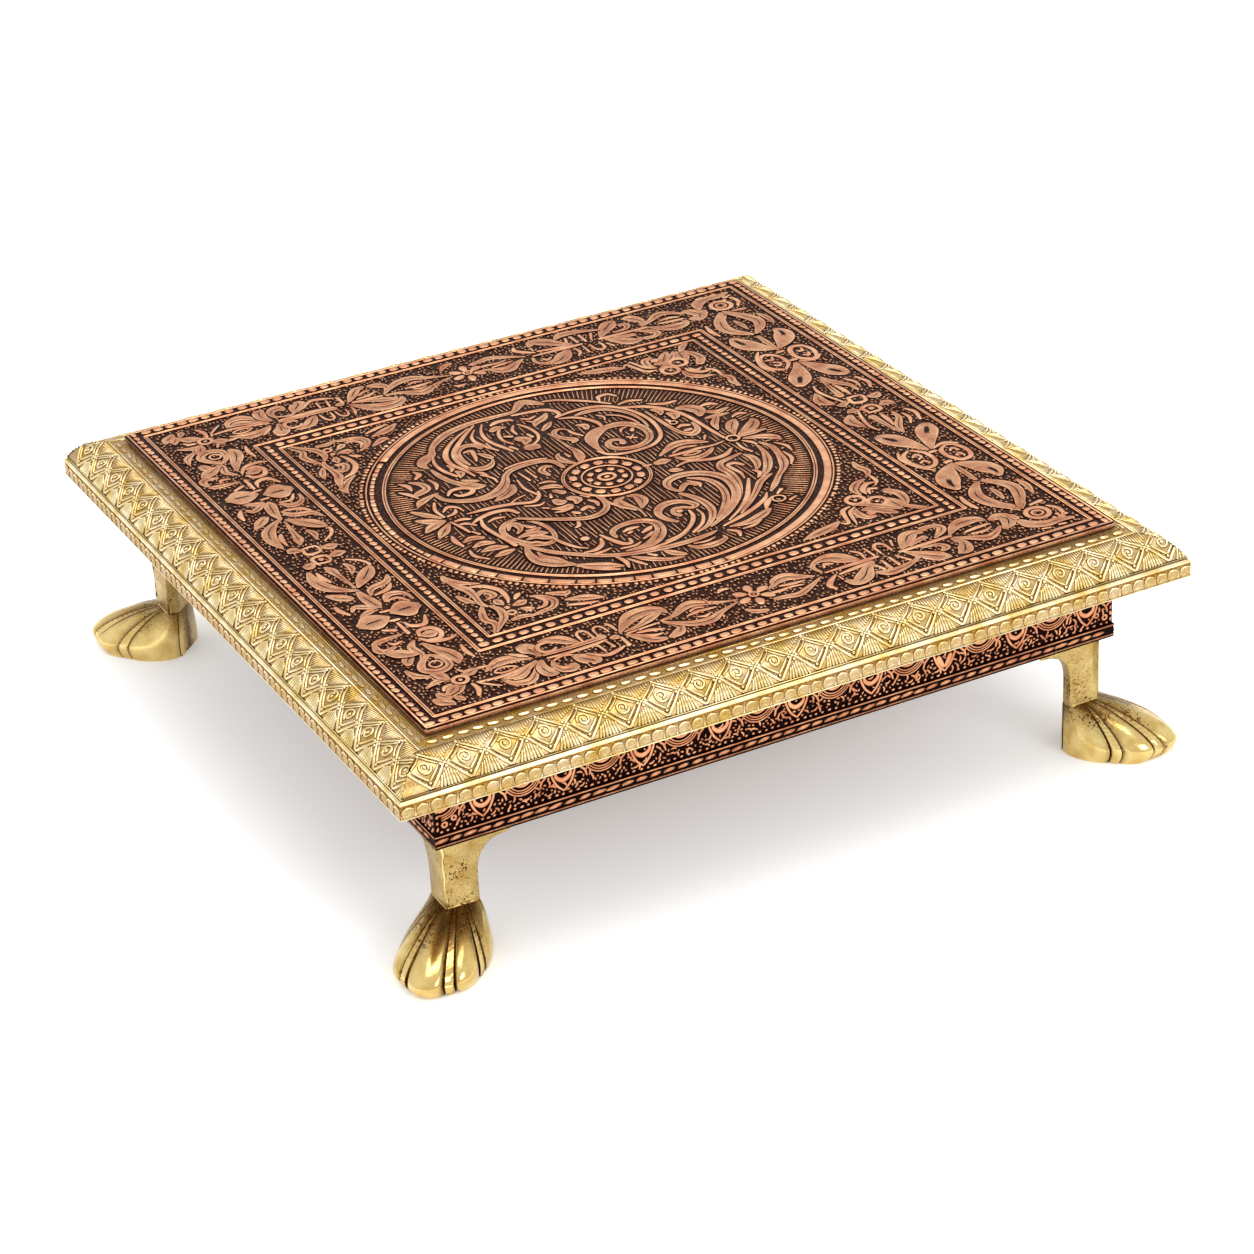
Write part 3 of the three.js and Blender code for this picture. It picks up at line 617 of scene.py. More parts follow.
def aged_metal_group():
    """Bright metal on what stands up, with patina left in what lies deep."""
    group = bpy.data.node_groups.new("aged_metal", "ShaderNodeTree")
    for name, start in METAL_INPUTS.items():
        kind = "NodeSocketColor" if isinstance(start, list) else "NodeSocketFloat"
        group.interface.new_socket(name, in_out="INPUT", socket_type=kind).default_value = start
    group.interface.new_socket("Color", in_out="OUTPUT", socket_type="NodeSocketColor")
    group.interface.new_socket("Roughness", in_out="OUTPUT", socket_type="NodeSocketFloat")
    group.interface.new_socket("Height", in_out="OUTPUT", socket_type="NodeSocketFloat")
    given = new_node(group, "NodeGroupInput").outputs
    spot = new_node(group, "ShaderNodeTexCoord").outputs["Object"]
    fine = noise(group, spot, FINE_GRAIN, 3.0)["Fac"]
    broad = noise(group, spot, BROAD_TONE, 4.0)["Fac"]

    fleck = calculate(group, "MULTIPLY", calculate(group, "SUBTRACT", fine, 0.5), given["Fleck"])
    flecked = calculate(group, "ADD", given["Raised"], fleck)
    bright = spread(group, flecked, given["Low"], given["High"], curve="SMOOTHSTEP")
    warm = mix_colours(group, spread(group, broad, 0.35, 0.7), given["Bright"], given["Warm"])
    stipple = spread(group, fine, 0.38, 0.62, *STIPPLE)
    deep = new_node(
        group, "ShaderNodeVectorMath", {"operation": "SCALE"}, Vector=given["Deep"], Scale=stipple
    ).outputs[0]
    hole = pits(group, spot, given)
    rough = spread(group, bright, 0.0, 1.0, given["Dull"], given["Smooth"])
    new_node(
        group, "NodeGroupOutput",
        Color=mix_colours(group, hole, mix_colours(group, bright, deep, warm), deep),
        Roughness=calculate(group, "MULTIPLY_ADD", broad, GRAIN_ROUGHNESS, rough),
        Height=calculate(group, "MULTIPLY_ADD", hole, PIT_DEPTH, fine),
    )
    return group


AGED_METAL = aged_metal_group()


def aged_metal(name, bump_depth, **values):
    material, tree, shader = new_material(name)
    raised = new_node(tree, "ShaderNodeAttribute", {"attribute_name": "metal"}).outputs["Fac"]
    finish = new_node(tree, "ShaderNodeGroup", {"node_tree": AGED_METAL}, Raised=raised, **values).outputs
    feed_inputs(
        tree, shader, Base_Color=finish["Color"], Roughness=finish["Roughness"],
        Metallic=1.0, Normal=bump(tree, finish["Height"], bump_depth, GRAIN_BUMP),
    )
    return material


# Every sheet is bent over its side of the wood and mitred at the corners, at these turns.
SHEET = 0.5
MITRES = (-135, -45)
BEND_SMOOTH = math.radians(25)


def side_sheet(name, outline, quarter, shine=None):
    """One side's bare sheet: its bent section, swept between the two mitres and closed at both."""
    line = np.array(outline)
    run = np.diff(line, axis=0)
    run /= np.linalg.norm(run, axis=1)[:, None]
    slopes = np.vstack([run[:1], run[1:] + run[:-1], run[-1:]])
    slopes /= np.linalg.norm(slopes, axis=1)[:, None]
    inner = line + SHEET * np.column_stack([slopes[:, 1], -slopes[:, 0]])
    across = math.sqrt(2) * MM
    start = math.radians(MITRES[0]) + quarter * math.pi / 2
    points = [
        (r * across * math.cos(start), r * across * math.sin(start), z * MM)
        for r, z in np.vstack([line, inner[::-1]])
    ]
    mesh = bpy.data.meshes.new(name)
    mesh.from_pydata(points, [], [list(range(len(points)))])
    sheet = new_piece(name, mesh)
    edit_whole(sheet)
    bpy.ops.mesh.spin(steps=1, angle=math.pi / 2, center=(0, 0, 0), axis=(0, 0, 1))
    bpy.ops.object.mode_set(mode="OBJECT")
    face_outwards(sheet)
    bpy.ops.object.shade_smooth_by_angle(angle=BEND_SMOOTH)
    if shine:
        metal = []
        for vertex in sheet.data.vertices:
            place = np.array([max(abs(vertex.co.x), abs(vertex.co.y)), vertex.co.z]) / MM
            metal.append(shine[int(np.argmin(np.hypot(*(line - place).T)))])
        keep_metal(sheet.data, metal)
    return sheet


def trim_to_mitres(piece, quarter):
    """Cuts a side's relief off at the two planes where it meets its neighbours."""
    for turn, sign in zip(MITRES, (-1, 1)):
        outward = math.radians(turn) + quarter * math.pi / 2 + sign * math.pi / 2
        edit_whole(piece)
        bpy.ops.mesh.bisect(
            plane_co=(0, 0, 0), plane_no=(math.cos(outward), math.sin(outward), 0),
            use_fill=True, clear_outer=True,
        )
        bpy.ops.object.mode_set(mode="OBJECT")


def turned_about_table(points, quarter):
    c, s = [(1, 0), (0, 1), (-1, 0), (0, -1)][quarter]
    x, y = points[:, 0].copy(), points[:, 1].copy()
    return np.column_stack([x * c - y * s, x * s + y * c, points[:, 2]])


def finish_piece(piece, material, slot, *nodes):
    piece.data.materials.clear()
    piece.data.materials.append(material)
    for polygon in piece.data.polygons:
        polygon.material_index = 0
    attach(piece, "root")
    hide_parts(*nodes)


# Copper apron: a chased strip over each rail, blackened and rubbed back. Roundels half hidden under
# the brass lip alternate with hanging buds, over a raised line, a wavy bead band and a foot line.
APRON_HALF = 133.7
APRON_STEP = 0.5
APRON_FACE = APRON_HALF - APRON_STEP
APRON_TOP = 71.0
APRON_FOOT = 44.1
APRON_BEAD_TOP = APRON_FOOT + 5.4
APRON_RETURN = 7.6
APRON_RISE = 0.45
APRON_END = APRON_FACE - 0.2
ROUNDEL_FIRST = -130.7
ROUNDEL_PITCH = 29.75
ROUNDEL_COUNT = 9
ROUNDEL_HEIGHT = 61.6
ROUNDEL_ARCS = [(6.9, 0.32), (6.0, 0.28), (5.1, 0.3), (3.5, 0.6)]  # radius and half width
BUD_FIRST = -115.8
BUD_HEIGHT = 58
END_RINGS = [(129.8, 52.8, 0.9, 0.5), (126.2954, 54.4, 0.8, 0.45)]  # place, height, radius, half width
END_BLOBS = 8
END_BLOB_FOOT = 51.6
END_BLOB_PITCH = 2.3
GROUND_TRIES = 3400
GROUND_FOOT = 51.7
GROUND_REACH = 6.4
GROUND_CROWDING = 1.6  # thickens the sprigs towards the foot
SPRIG_SPACING = 1.7
DOT_LINE = 50.45
BAND_RISE = 0.42
BAND_LINES = [(48.95, 0.4, 0.85), (45.25, 0.36, 0.7)]  # height, half width, lift
WAVE_BEADS = 47.15
WAVE_TAILS = 46.9
WAVE_PITCH = 5.3

apron_outline = [
    (APRON_FACE, APRON_TOP),
    (APRON_FACE, APRON_BEAD_TOP),
    (APRON_HALF, APRON_BEAD_TOP - APRON_STEP / 2),
    (APRON_HALF, APRON_FOOT + APRON_STEP / 2),
    (APRON_HALF - APRON_STEP / 2, APRON_FOOT),
    (APRON_HALF - APRON_RETURN, APRON_FOOT),
]
copper_apron = aged_metal(
    "copper_apron", 0.00006,
    Bright=colour(228, 162, 118), Warm=colour(186, 114, 78), Deep=colour(30, 13, 12), High=0.95,
)


def bud(relief, at, solid):
    """A hanging bud, pointed below: a cup round a tongue, or a full heart under two curls."""
    cup = [(-4.7, 2.8, 0.35), (-4.0, -0.6, 0.5), (-2.4, -4.0, 0.5), (0, -6.4, 0.45)]
    spray = [(5.4, 3.4, 0.3), (6.4, 0.8, 0.45), (8.0, -0.9, 0.5), (8.7, -3.2, 0.4)]
    branch = [(8.2, -1.0, 0.4), (10.0, 1.0, 0.45), (11.2, 3.0, 0.3)]
    heart = [(-2.5, -0.6, 1.1), (-1.7, -2.6, 1.2), (-0.3, -4.7, 0.7)]
    for flip in (False, True):
        for shape in [cup, spray, branch] + solid * [heart]:
            stroke(relief, moved(shape, (at, BUD_HEIGHT), flip_x=flip))
        if solid:
            ring(relief, (at + (2.2 if flip else -2.2), BUD_HEIGHT + 1.8), 1.1, 0.42, steps=10)
    if not solid:
        tongue = [(-2.9, 1.6, 0.45), (-2.5, -0.9, 0.8), (0, -2.4, 1.05), (2.5, -0.9, 0.8), (2.9, 1.6, 0.45)]
        stroke(relief, moved(tongue, (at, BUD_HEIGHT)))
        bead(relief, (at, BUD_HEIGHT + 1.6), 1.2, 0.5)


def sprig(relief, spot, draw):
    """A blob or a short curled sprig of the ground pattern."""
    turn = draw.uniform(0, math.pi)
    if draw.random() < 0.6:
        long, wide = draw.uniform(0.45, 0.95), draw.uniform(0.32, 0.52)
        bead(relief, spot, long, wide, turn, draw.uniform(0.75, 1), 6)
        return
    dx, dz = math.cos(turn), math.sin(turn)
    stroke(relief, [
        (spot[0] - dx, spot[1] - dz, 0.28),
        (spot[0] + 0.35 * dz, spot[1] - 0.35 * dx, 0.46),
        (spot[0] + dx, spot[1] + dz, 0.3),
    ], steps=2)


def apron_side(quarter):
    """One side of the apron: its roundels and buds, the ground between, and the band along its foot."""
    draw = random.Random(11 + quarter)
    end = APRON_END
    relief = new_relief(APRON_RISE)
    for i in range(ROUNDEL_COUNT):
        at = ROUNDEL_FIRST + ROUNDEL_PITCH * i
        for radius, half_width in ROUNDEL_ARCS:
            turns = [math.radians(a) for a in range(-175, 0, 17)]
            arc = [
                (at + radius * math.cos(a), ROUNDEL_HEIGHT + radius * math.sin(a), half_width) for a in turns
            ]
            arc = [point for point in arc if abs(point[0]) < APRON_FACE - 0.8]
            if len(arc) > 2:
                stroke(relief, arc, steps=2)
        bud(relief, BUD_FIRST + ROUNDEL_PITCH * i, draw.random() < 0.4)
    for side in (-1, 1):
        for x, z, radius, half_width in END_RINGS:
            ring(relief, (side * x, z), radius, half_width, steps=10)
    for side in (-1, 1):
        for k in range(END_BLOBS):
            spot = (side * (end - 0.7), END_BLOB_FOOT + END_BLOB_PITCH * k)
            long, wide, turn = draw.uniform(0.7, 1.1), draw.uniform(0.4, 0.6), draw.uniform(1.0, 2.0)
            bead(relief, spot, long, wide, turn, 1, 6)
    places = np.array([
        (draw.uniform(-end + 1.6, end - 1.6), GROUND_FOOT + GROUND_REACH * draw.random() ** GROUND_CROWDING)
        for _ in range(GROUND_TRIES)
    ])
    kept = []
    for spot in places[free_places(relief, places, 0.6)]:
        if all(abs(spot[0] - x) + 1.2 * abs(spot[1] - z) > SPRIG_SPACING for x, z in kept):
            kept.append(spot)
            sprig(relief, spot, draw)
    x = -end + 2
    while x < end - 1.5:
        spot = (x, DOT_LINE + draw.uniform(-0.12, 0.12))
        bead(relief, spot, draw.uniform(0.55, 0.85), 0.52, 0.2, sides=6)
        x += draw.uniform(2.1, 3.0)
    band = new_relief(BAND_RISE)
    for z, half_width, lift in BAND_LINES:
        stroke(band, [(-end - 0.5, z, half_width), (end + 0.5, z, half_width)], ROUND_SECTION, lift, steps=1)
    x = -end + 1.5
    while x < end - 1:
        long = draw.uniform(2.2, 2.9)
        spot = (x, WAVE_BEADS + draw.uniform(-0.12, 0.12))
        bead(band, spot, long, 0.78, draw.uniform(0.04, 0.18), 1.0, 10, 0.25, 0.8)
        bead(band, (x - long * 0.55, WAVE_TAILS), long * 0.5, 0.5, 0.3, 0.7, 6)
        x += WAVE_PITCH + draw.uniform(-0.4, 0.4)

    def on_apron(x, z, high):
        return turned_about_table(np.column_stack([x, -(APRON_FACE + high), z]), quarter)

    def on_step(x, z, high):
        return turned_about_table(np.column_stack([x, -(APRON_HALF + high), z]), quarter)

    side = SIDES[quarter]
    chased = relief_object("apron_relief_" + side, relief, on_apron)
    trim_to_mitres(chased, quarter)
    beaded = relief_object("bead_relief_" + side, band, on_step)
    trim_to_mitres(beaded, quarter)
    sheet = side_sheet("apron_sheet_" + side, apron_outline, quarter)
    piece = join_pieces([sheet, chased, beaded], "apron_sheet_" + side)
    finish_piece(piece, copper_apron, "apron_copper", "apron_copper_" + side)


for quarter in range(4):
    apron_side(quarter)


# Brass edge: a sheet glued over the board's moulded edge and mitred at the corners. It is embossed
# with a beaded strip, a row of lozenges on the round, a rib, a band of scales and a plain lip.
PLATE_HALF = 133.5
EDGE_HALF = 152.5
STRIP_TOP = 87.4
OVOLO_START = 138.3
OVOLO_TOP = 85.8
OVOLO_END = 151.5
OVOLO_FOOT = 77.5
OVOLO_SWEEP = 1.25
OVOLO_STEPS = 20
BAND_TOP = 76.3
LIP_CHAMFER = 0.4
LIP_FOOT = 71.1
RIB_RISE = 0.56
RIB_STEPS = 8
EDGE_RISE = 0.52
EDGE_MOAT = 0.26
EDGE_TUCK = 4.0  # under the copper plate
EDGE_RETURN = 142.9
# From here to the rib line, heights are measured down the sheet from the copper plate's side.
STRIP_START_LINE = (1.1, 0.25, 0.6)  # place, half width, lift
STRIP_BEADS = 50
STRIP_BEAD_LINE = 3.1
STRIP_REACH = PLATE_HALF + 2
LEFT_BEAD_LIFT = 0.5
LOZENGES = 21
LOZENGE_FIRST = -140.5
LOZENGE_PITCH = 14.24
LOZENGE_MIDDLE = 13.55
LOZENGE_HALF_WIDTH = 6.7
LOZENGE_HALF_HEIGHT = 6.6
LOZENGE_SWELL = 0.3
SWELL_SHARES = [0.25, 0.5, 0.75, 1]
SWELL_BACK = -0.2
SWELL_SKIN = 0.01
OVOLO_SHINE = 0.27
CREST_SHINE = 0.16  # more at a lozenge's middle
RIB_SHINE = 0.95
CELL_TOP = 7.0
CELL_EYE = 13.2
CELL_FOOT = 20.1
OUTER_CURVE = 6.5  # how far the curves start from a lozenge's middle
INNER_CURVE = 4.6
CURL_RADIUS = 2.35
CROSSING_BEADS = [(-1.5, 0.2), (0, -1.3), (1.5, 0), (0.1, 1.4), (0, 0)]
FAN_STROKES = 3  # each side of the middle
HATCH_STROKES = 6  # each side of the middle
HATCH_TOP = 5.9
RIB_LINE = 21.0
SCALE_RISE = 0.42
SCALE_MOAT = 0.15
SCALE_PITCH = 5.0
SCALE_MIDDLE = 2.8
SCALE_FOOT_LINE = 4.92
LEFT_SIDE_PAINTED_SHADE = 0.84


def ovolo_line():
    """The points of the round, from the strip above it down to the rib."""
    line = []
    for i in range(OVOLO_STEPS + 1):
        turn = OVOLO_SWEEP * i / OVOLO_STEPS
        out = math.sin(turn) / math.sin(OVOLO_SWEEP)
        down = (1 - math.cos(turn)) / (1 - math.cos(OVOLO_SWEEP))
        reach = OVOLO_START + (OVOLO_END - OVOLO_START) * out
        line.append((reach, OVOLO_TOP - (OVOLO_TOP - OVOLO_FOOT) * down))
    return line


def rib_line():
    """The points of the half-round rib between the ovolo's foot and the band's top."""
    low, high = np.array([EDGE_HALF, BAND_TOP]), np.array([OVOLO_END, OVOLO_FOOT])
    half_chord = (high - low) / 2
    out = np.array([half_chord[1], -half_chord[0]]) / np.linalg.norm(half_chord)
    line = []
    for i in range(RIB_STEPS - 1, 0, -1):
        turn = math.pi * i / RIB_STEPS
        line.append(tuple(low + half_chord * (1 - math.cos(turn)) + out * RIB_RISE * math.sin(turn)))
    return line


edge_outline = (
    [(PLATE_HALF - EDGE_TUCK, STRIP_TOP - 0.05), (PLATE_HALF, STRIP_TOP)]
    + ovolo_line() + rib_line()
    + [(EDGE_HALF, BAND_TOP), (EDGE_HALF, LIP_FOOT + LIP_CHAMFER), (EDGE_HALF - LIP_CHAMFER, LIP_FOOT)]
    + [(EDGE_RETURN, LIP_FOOT)]
)
# How bright each point of the outline is: the strip, the ovolo, the rib, then the band and the lip. The strip
# is kept dark next to the plate, a painted reflection of the copper; the rib stands between darker points and
# the band is darkest just under it, a painted shadow; the lip's chamfer and the return beneath it are darker
# again.
edge_tone_and_painted_shade = (
    [0.12, 0.2] + [OVOLO_SHINE] * (OVOLO_STEPS + 1)
    + [0.2] + [RIB_SHINE] * 5 + [0.2] + [0.02, 0.7, 0.5, 0.3]
)
chased_line = np.array([(PLATE_HALF, STRIP_TOP)] + ovolo_line())
steps_along = np.hypot(*np.diff(chased_line, axis=0).T)
line_places = np.concatenate([[0], np.cumsum(steps_along)])
STRIP_LENGTH = line_places[1]
line_slopes = np.diff(chased_line, axis=0) / steps_along[:, None]
point_slopes = np.vstack([line_slopes[:1], (line_slopes[1:] + line_slopes[:-1]) / 2, line_slopes[-1:]])
point_slopes[1] = line_slopes[1]

brass_sheet = aged_metal(
    "brass_sheet", 0.00003,
    Bright=colour(250, 235, 192), Warm=colour(218, 188, 106), Deep=colour(146, 96, 14),
    Low=-0.1, High=0.85, Fleck=0.2, Smooth=0.2, Dull=0.36,
)


def swell_height(x, v):
    """How far a lozenge swells out of the round, at a place along and down the sheet."""
    from_middle = (x - LOZENGE_FIRST + LOZENGE_PITCH / 2) % LOZENGE_PITCH - LOZENGE_PITCH / 2
    down = np.abs(v - LOZENGE_MIDDLE) / LOZENGE_HALF_HEIGHT
    return LOZENGE_SWELL * np.clip(1 - np.abs(from_middle) / LOZENGE_HALF_WIDTH - down, 0, 1)


def lozenge_swell(relief, at):
    """The face of one lozenge, which rises to its middle, as a thin closed shell."""
    steps = np.arange(4) / 4
    quarter = np.column_stack([1 - steps, steps])
    rim = np.vstack([quarter, (-1, 1) * quarter[:, ::-1], -quarter, (1, -1) * quarter[:, ::-1]])
    count = len(rim)
    rings = [(share, SWELL_BACK - LOZENGE_SWELL * (1 - share)) for share in SWELL_SHARES]
    rings += [(share, -SWELL_SKIN if share == 1 else SWELL_SKIN) for share in SWELL_SHARES[::-1]]
    points, metal = [], []
    for share, high in rings:
        x = at + rim[:, 0] * LOZENGE_HALF_WIDTH * share
        v = LOZENGE_MIDDLE + rim[:, 1] * LOZENGE_HALF_HEIGHT * share
        points.append(np.column_stack([x, v, np.full(count, high)]))
        metal += [OVOLO_SHINE + CREST_SHINE * (1 - share)] * count
    points.append(np.array([[at, LOZENGE_MIDDLE, 0.0]]))
    metal.append(OVOLO_SHINE + CREST_SHINE)
    add_shell(relief, np.vstack(points), dome_faces(len(rings), count), metal)


def lozenge_cell(relief, at, draw):
    """One lozenge with its eye, beads at the crossing, a fan below and hatching above."""
    for side in (-1, 1):
        for out, low_end, wide in ((OUTER_CURVE, CELL_FOOT, 0.6), (INNER_CURVE, CELL_EYE + 4.4, 0.46)):
            stroke(relief, [
                (at + side * out, CELL_EYE + 0.4, wide * 0.8),
                (at + side * (out * 0.5 + 0.2), (CELL_EYE + low_end) / 2 + 0.4, wide),
                (at + side * 0.3, low_end, wide),
            ], ROUND_SECTION, steps=2)
        for out, high_end, wide in ((OUTER_CURVE, CELL_TOP, 0.46), (INNER_CURVE, CELL_EYE - 4.2, 0.4)):
            stroke(relief, [
                (at + side * out, CELL_EYE - 0.5, wide * 0.8),
                (at + side * out * 0.5, (CELL_EYE + high_end) / 2, wide),
                (at + side * 0.3, high_end, wide),
            ], ROUND_SECTION, 0.95, steps=1)
        for k in range(3):
            x, v = at + side * (5.2 - 1.7 * k), CELL_EYE + 1.9 + 1.6 * k
            bead(relief, (x - side * 0.3, v + 0.4), 0.62, 0.34, side * 0.7, 0.9, 6)
    curl = draw.uniform(0, 6)
    spiral = []
    for k in range(12):
        radius, a = CURL_RADIUS - 0.1 * k, curl + 0.62 * k
        spiral.append((at + radius * math.cos(a), CELL_EYE + radius * math.sin(a), 0.48))
    stroke(relief, spiral, ROUND_SECTION, steps=2)
    bead(relief, (at, CELL_EYE), 0.72, 0.72, sides=6)
    bead(relief, (at + 0.1, CELL_EYE - 6.9), 0.72, 0.6, sides=6)
    bead(relief, (at - 0.2, CELL_EYE - 4.9), 0.6, 0.55, sides=6)
    bead(relief, (at, CELL_FOOT - 1.6), 0.6, 0.55, sides=6)
    crossing = at + LOZENGE_PITCH / 2
    for dx, dv in CROSSING_BEADS:
        bead(relief, (crossing + dx, CELL_EYE + dv), 0.68, 0.55, sides=6)
    for k in range(-FAN_STROKES, FAN_STROKES + 1):
        stroke(relief, [
            (crossing + k * 0.85, CELL_EYE + 2.5 + 0.5 * abs(k), 0.4),
            (crossing + k * 1.25 + draw.uniform(-0.1, 0.1), CELL_FOOT + 0.3, 0.6),
        ], ROUND_SECTION, 1.1, steps=1)
    for k in range(-HATCH_STROKES, HATCH_STROKES + 1):
        x = crossing + k * 0.98
        bottom = CELL_EYE - 1.8 - abs(k) * 0.78 + draw.uniform(-0.3, 0.3)
        if bottom > HATCH_TOP + 0.7:
            stroke(relief, [(x, HATCH_TOP, 0.28), (x - 0.12, bottom, 0.28)], ROUND_SECTION, 0.72, steps=1)


def scale_row(relief, half_length, draw):
    """Flat overlapping rounded scales along the band, each held dim, with a painted highlight along its crest
    and a dark joint.
    """
    count = round(2 * half_length / SCALE_PITCH)
    for i in range(count):
        x = -half_length + SCALE_PITCH * (i + 0.5) + draw.uniform(-0.2, 0.2)
        long = SCALE_PITCH * draw.uniform(0.45, 0.49)
        at = (x, SCALE_MIDDLE)
        # Each scale is held to half brightness as painted shade, and the thin bright stroke along its top is
        # a painted highlight.
        bead(relief, at, long, 2.15, lift=0.62, sides=16, tilt=0.45, shine=0.5, round_off=0.58)
        crest = draw.uniform(-0.15, 0.15)
        stroke(relief, [
            (x - long * 0.86, 2.2 + crest, 0.14), (x - long * 0.62, 1.2 + crest, 0.36),
            (x + 0.2, 0.9 + crest, 0.42), (x + long * 0.82, 1.3 + crest, 0.22),
        ], ROUND_SECTION, 1.1, steps=2)
        joint = [(x - long * 0.4, 3.7, 0.14), (x + long * 0.5, 3.5, 0.16)]
        stroke(relief, joint, ROUND_SECTION, 0.8, steps=1)


def edge_line(relief, v, half_width, lift=1.0):
    """A raised line along the whole side."""
    stroke(relief, [(-EDGE_HALF, v, half_width), (EDGE_HALF, v, half_width)], ROUND_SECTION, lift, steps=1)


def edge_side(quarter):
    """One side of the brass edge: its sheet, the chasing on its round, and the scales of its band."""
    side = SIDES[quarter]
    draw = random.Random(31 + quarter)
    relief = new_relief(EDGE_RISE, EDGE_MOAT)
    for i in range(LOZENGES):
        lozenge_swell(relief, LOZENGE_FIRST + LOZENGE_PITCH * i)
        lozenge_cell(relief, LOZENGE_FIRST + LOZENGE_PITCH * i, draw)
    edge_line(relief, STRIP_LENGTH + 0.1, 0.42)
    edge_line(relief, RIB_LINE, 0.36, 0.9)
    lift = LEFT_BEAD_LIFT if side == "left" else 1.0
    for i in range(STRIP_BEADS):
        x = -STRIP_REACH + 2 * STRIP_REACH * (i + 0.5) / STRIP_BEADS
        at = (x + draw.uniform(-0.3, 0.3), STRIP_BEAD_LINE)
        bead(relief, at, draw.uniform(1.9, 2.4), 0.78, draw.uniform(-0.05, 0.14), lift, 12, round_off=0.8)
    edge_line(relief, *STRIP_START_LINE)

    def on_round(x, v, high):
        r = np.interp(v, line_places, chased_line[:, 0])
        z = np.interp(v, line_places, chased_line[:, 1])
        dr = np.interp(v, line_places, point_slopes[:, 0])
        dz = np.interp(v, line_places, point_slopes[:, 1])
        size = np.hypot(dr, dz)
        high = high + swell_height(x, v)
        points = np.column_stack([x, -(r - dz / size * high), z + dr / size * high])
        return turned_about_table(points, quarter)

    chased = relief_object("edge_relief_" + side, relief, on_round)
    trim_to_mitres(chased, quarter)
    scales = new_relief(SCALE_RISE, SCALE_MOAT)
    scale_row(scales, EDGE_HALF, draw)
    edge_line(scales, SCALE_FOOT_LINE, 0.28, 0.9)

    def on_band(x, v, high):
        return turned_about_table(np.column_stack([x, -(EDGE_HALF + high), BAND_TOP - v]), quarter)

    band = relief_object("band_relief_" + side, scales, on_band)
    trim_to_mitres(band, quarter)
    sheet = side_sheet("edge_sheet_" + side, edge_outline, quarter, edge_tone_and_painted_shade)
    piece = join_pieces([sheet, chased, band], "edge_sheet_" + side)
    # The whole left side is dimmed: painted shade, for the side turned away from the lamps.
    if side == "left":
        for spot in piece.data.attributes["metal"].data:
            spot.value *= LEFT_SIDE_PAINTED_SHADE
    finish_piece(piece, brass_sheet, "brass_sheet", "brass_edge_" + side)


for quarter in range(4):
    edge_side(quarter)


# Copper plate: the top, one sheet chased by hand and turned down over the hardboard at its edges.
# The ground is blackened, and what stands up is rubbed back to bright copper.
GROUND = 89.5
PLATE_FOOT = 87.5
PLATE_RISE = 0.48
PLATE_ROUNDING = 0.4
TURNED_EDGE = 1.5
EDGE_LINE = (132.85, 0.45)  # distance from the middle and half width
SQUARE_LINES = [(127.6, 0.78), (95.9, 0.85), (88.7, 0.72)]
BEAD_ROWS = [(130.9, 2.1, 1.5), (92.3, 2.0, 1.55)]  # distance, half length and half width
BEAD_PITCH = 4.95
BEAD_PITCH_DOWN_SIDES = 3.7
GROUND_SHINE = 0.3
TURNED_SHINE = 0.8
FOOT_PAINTED_SHADOW = 0.42
LINE_MOAT = 0.7
LEAF_MOAT = 0.56
FINE_MOAT = 0.25
GRAIN_FIELDS = [  # two corners of each
    ((-126, -126.2), (126, -97.4)), ((-126, 97.4), (126, 126.2)),
    ((-126, -97), (-97.4, 97)), ((97.4, -97), (126, 97)),
    ((-87.4, -87.4), (-20, -20)), ((20, -87.4), (87.4, -20)),
    ((-87.4, 20), (-20, 87.4)), ((20, 20), (87.4, 87.4)),
]
GRAINS_PER_AREA = 0.75
GRAIN_SPACING = (1.1, 1.6)
GRAIN_GAP = 0.45
GRAIN_SHINE = 0.74
MEDALLION_REACH = 87.2
HALF_WIDTH = 0.5  # of a drawn point that names none
HEAVIER = 0.84  # how much heavier a drawn stroke is struck
HEAVIER_WHEN_WIDE = 0.44
HEAVIEST_WIDTH = 1.7
VEINED_WIDTH = 1.05
PETAL_WIDTH = 1.55

copper_plate = aged_metal(
    "copper_plate", 0.00008,
    Bright=colour(246, 187, 141), Warm=colour(208, 135, 96), Deep=colour(47, 23, 17), High=1.0,
)


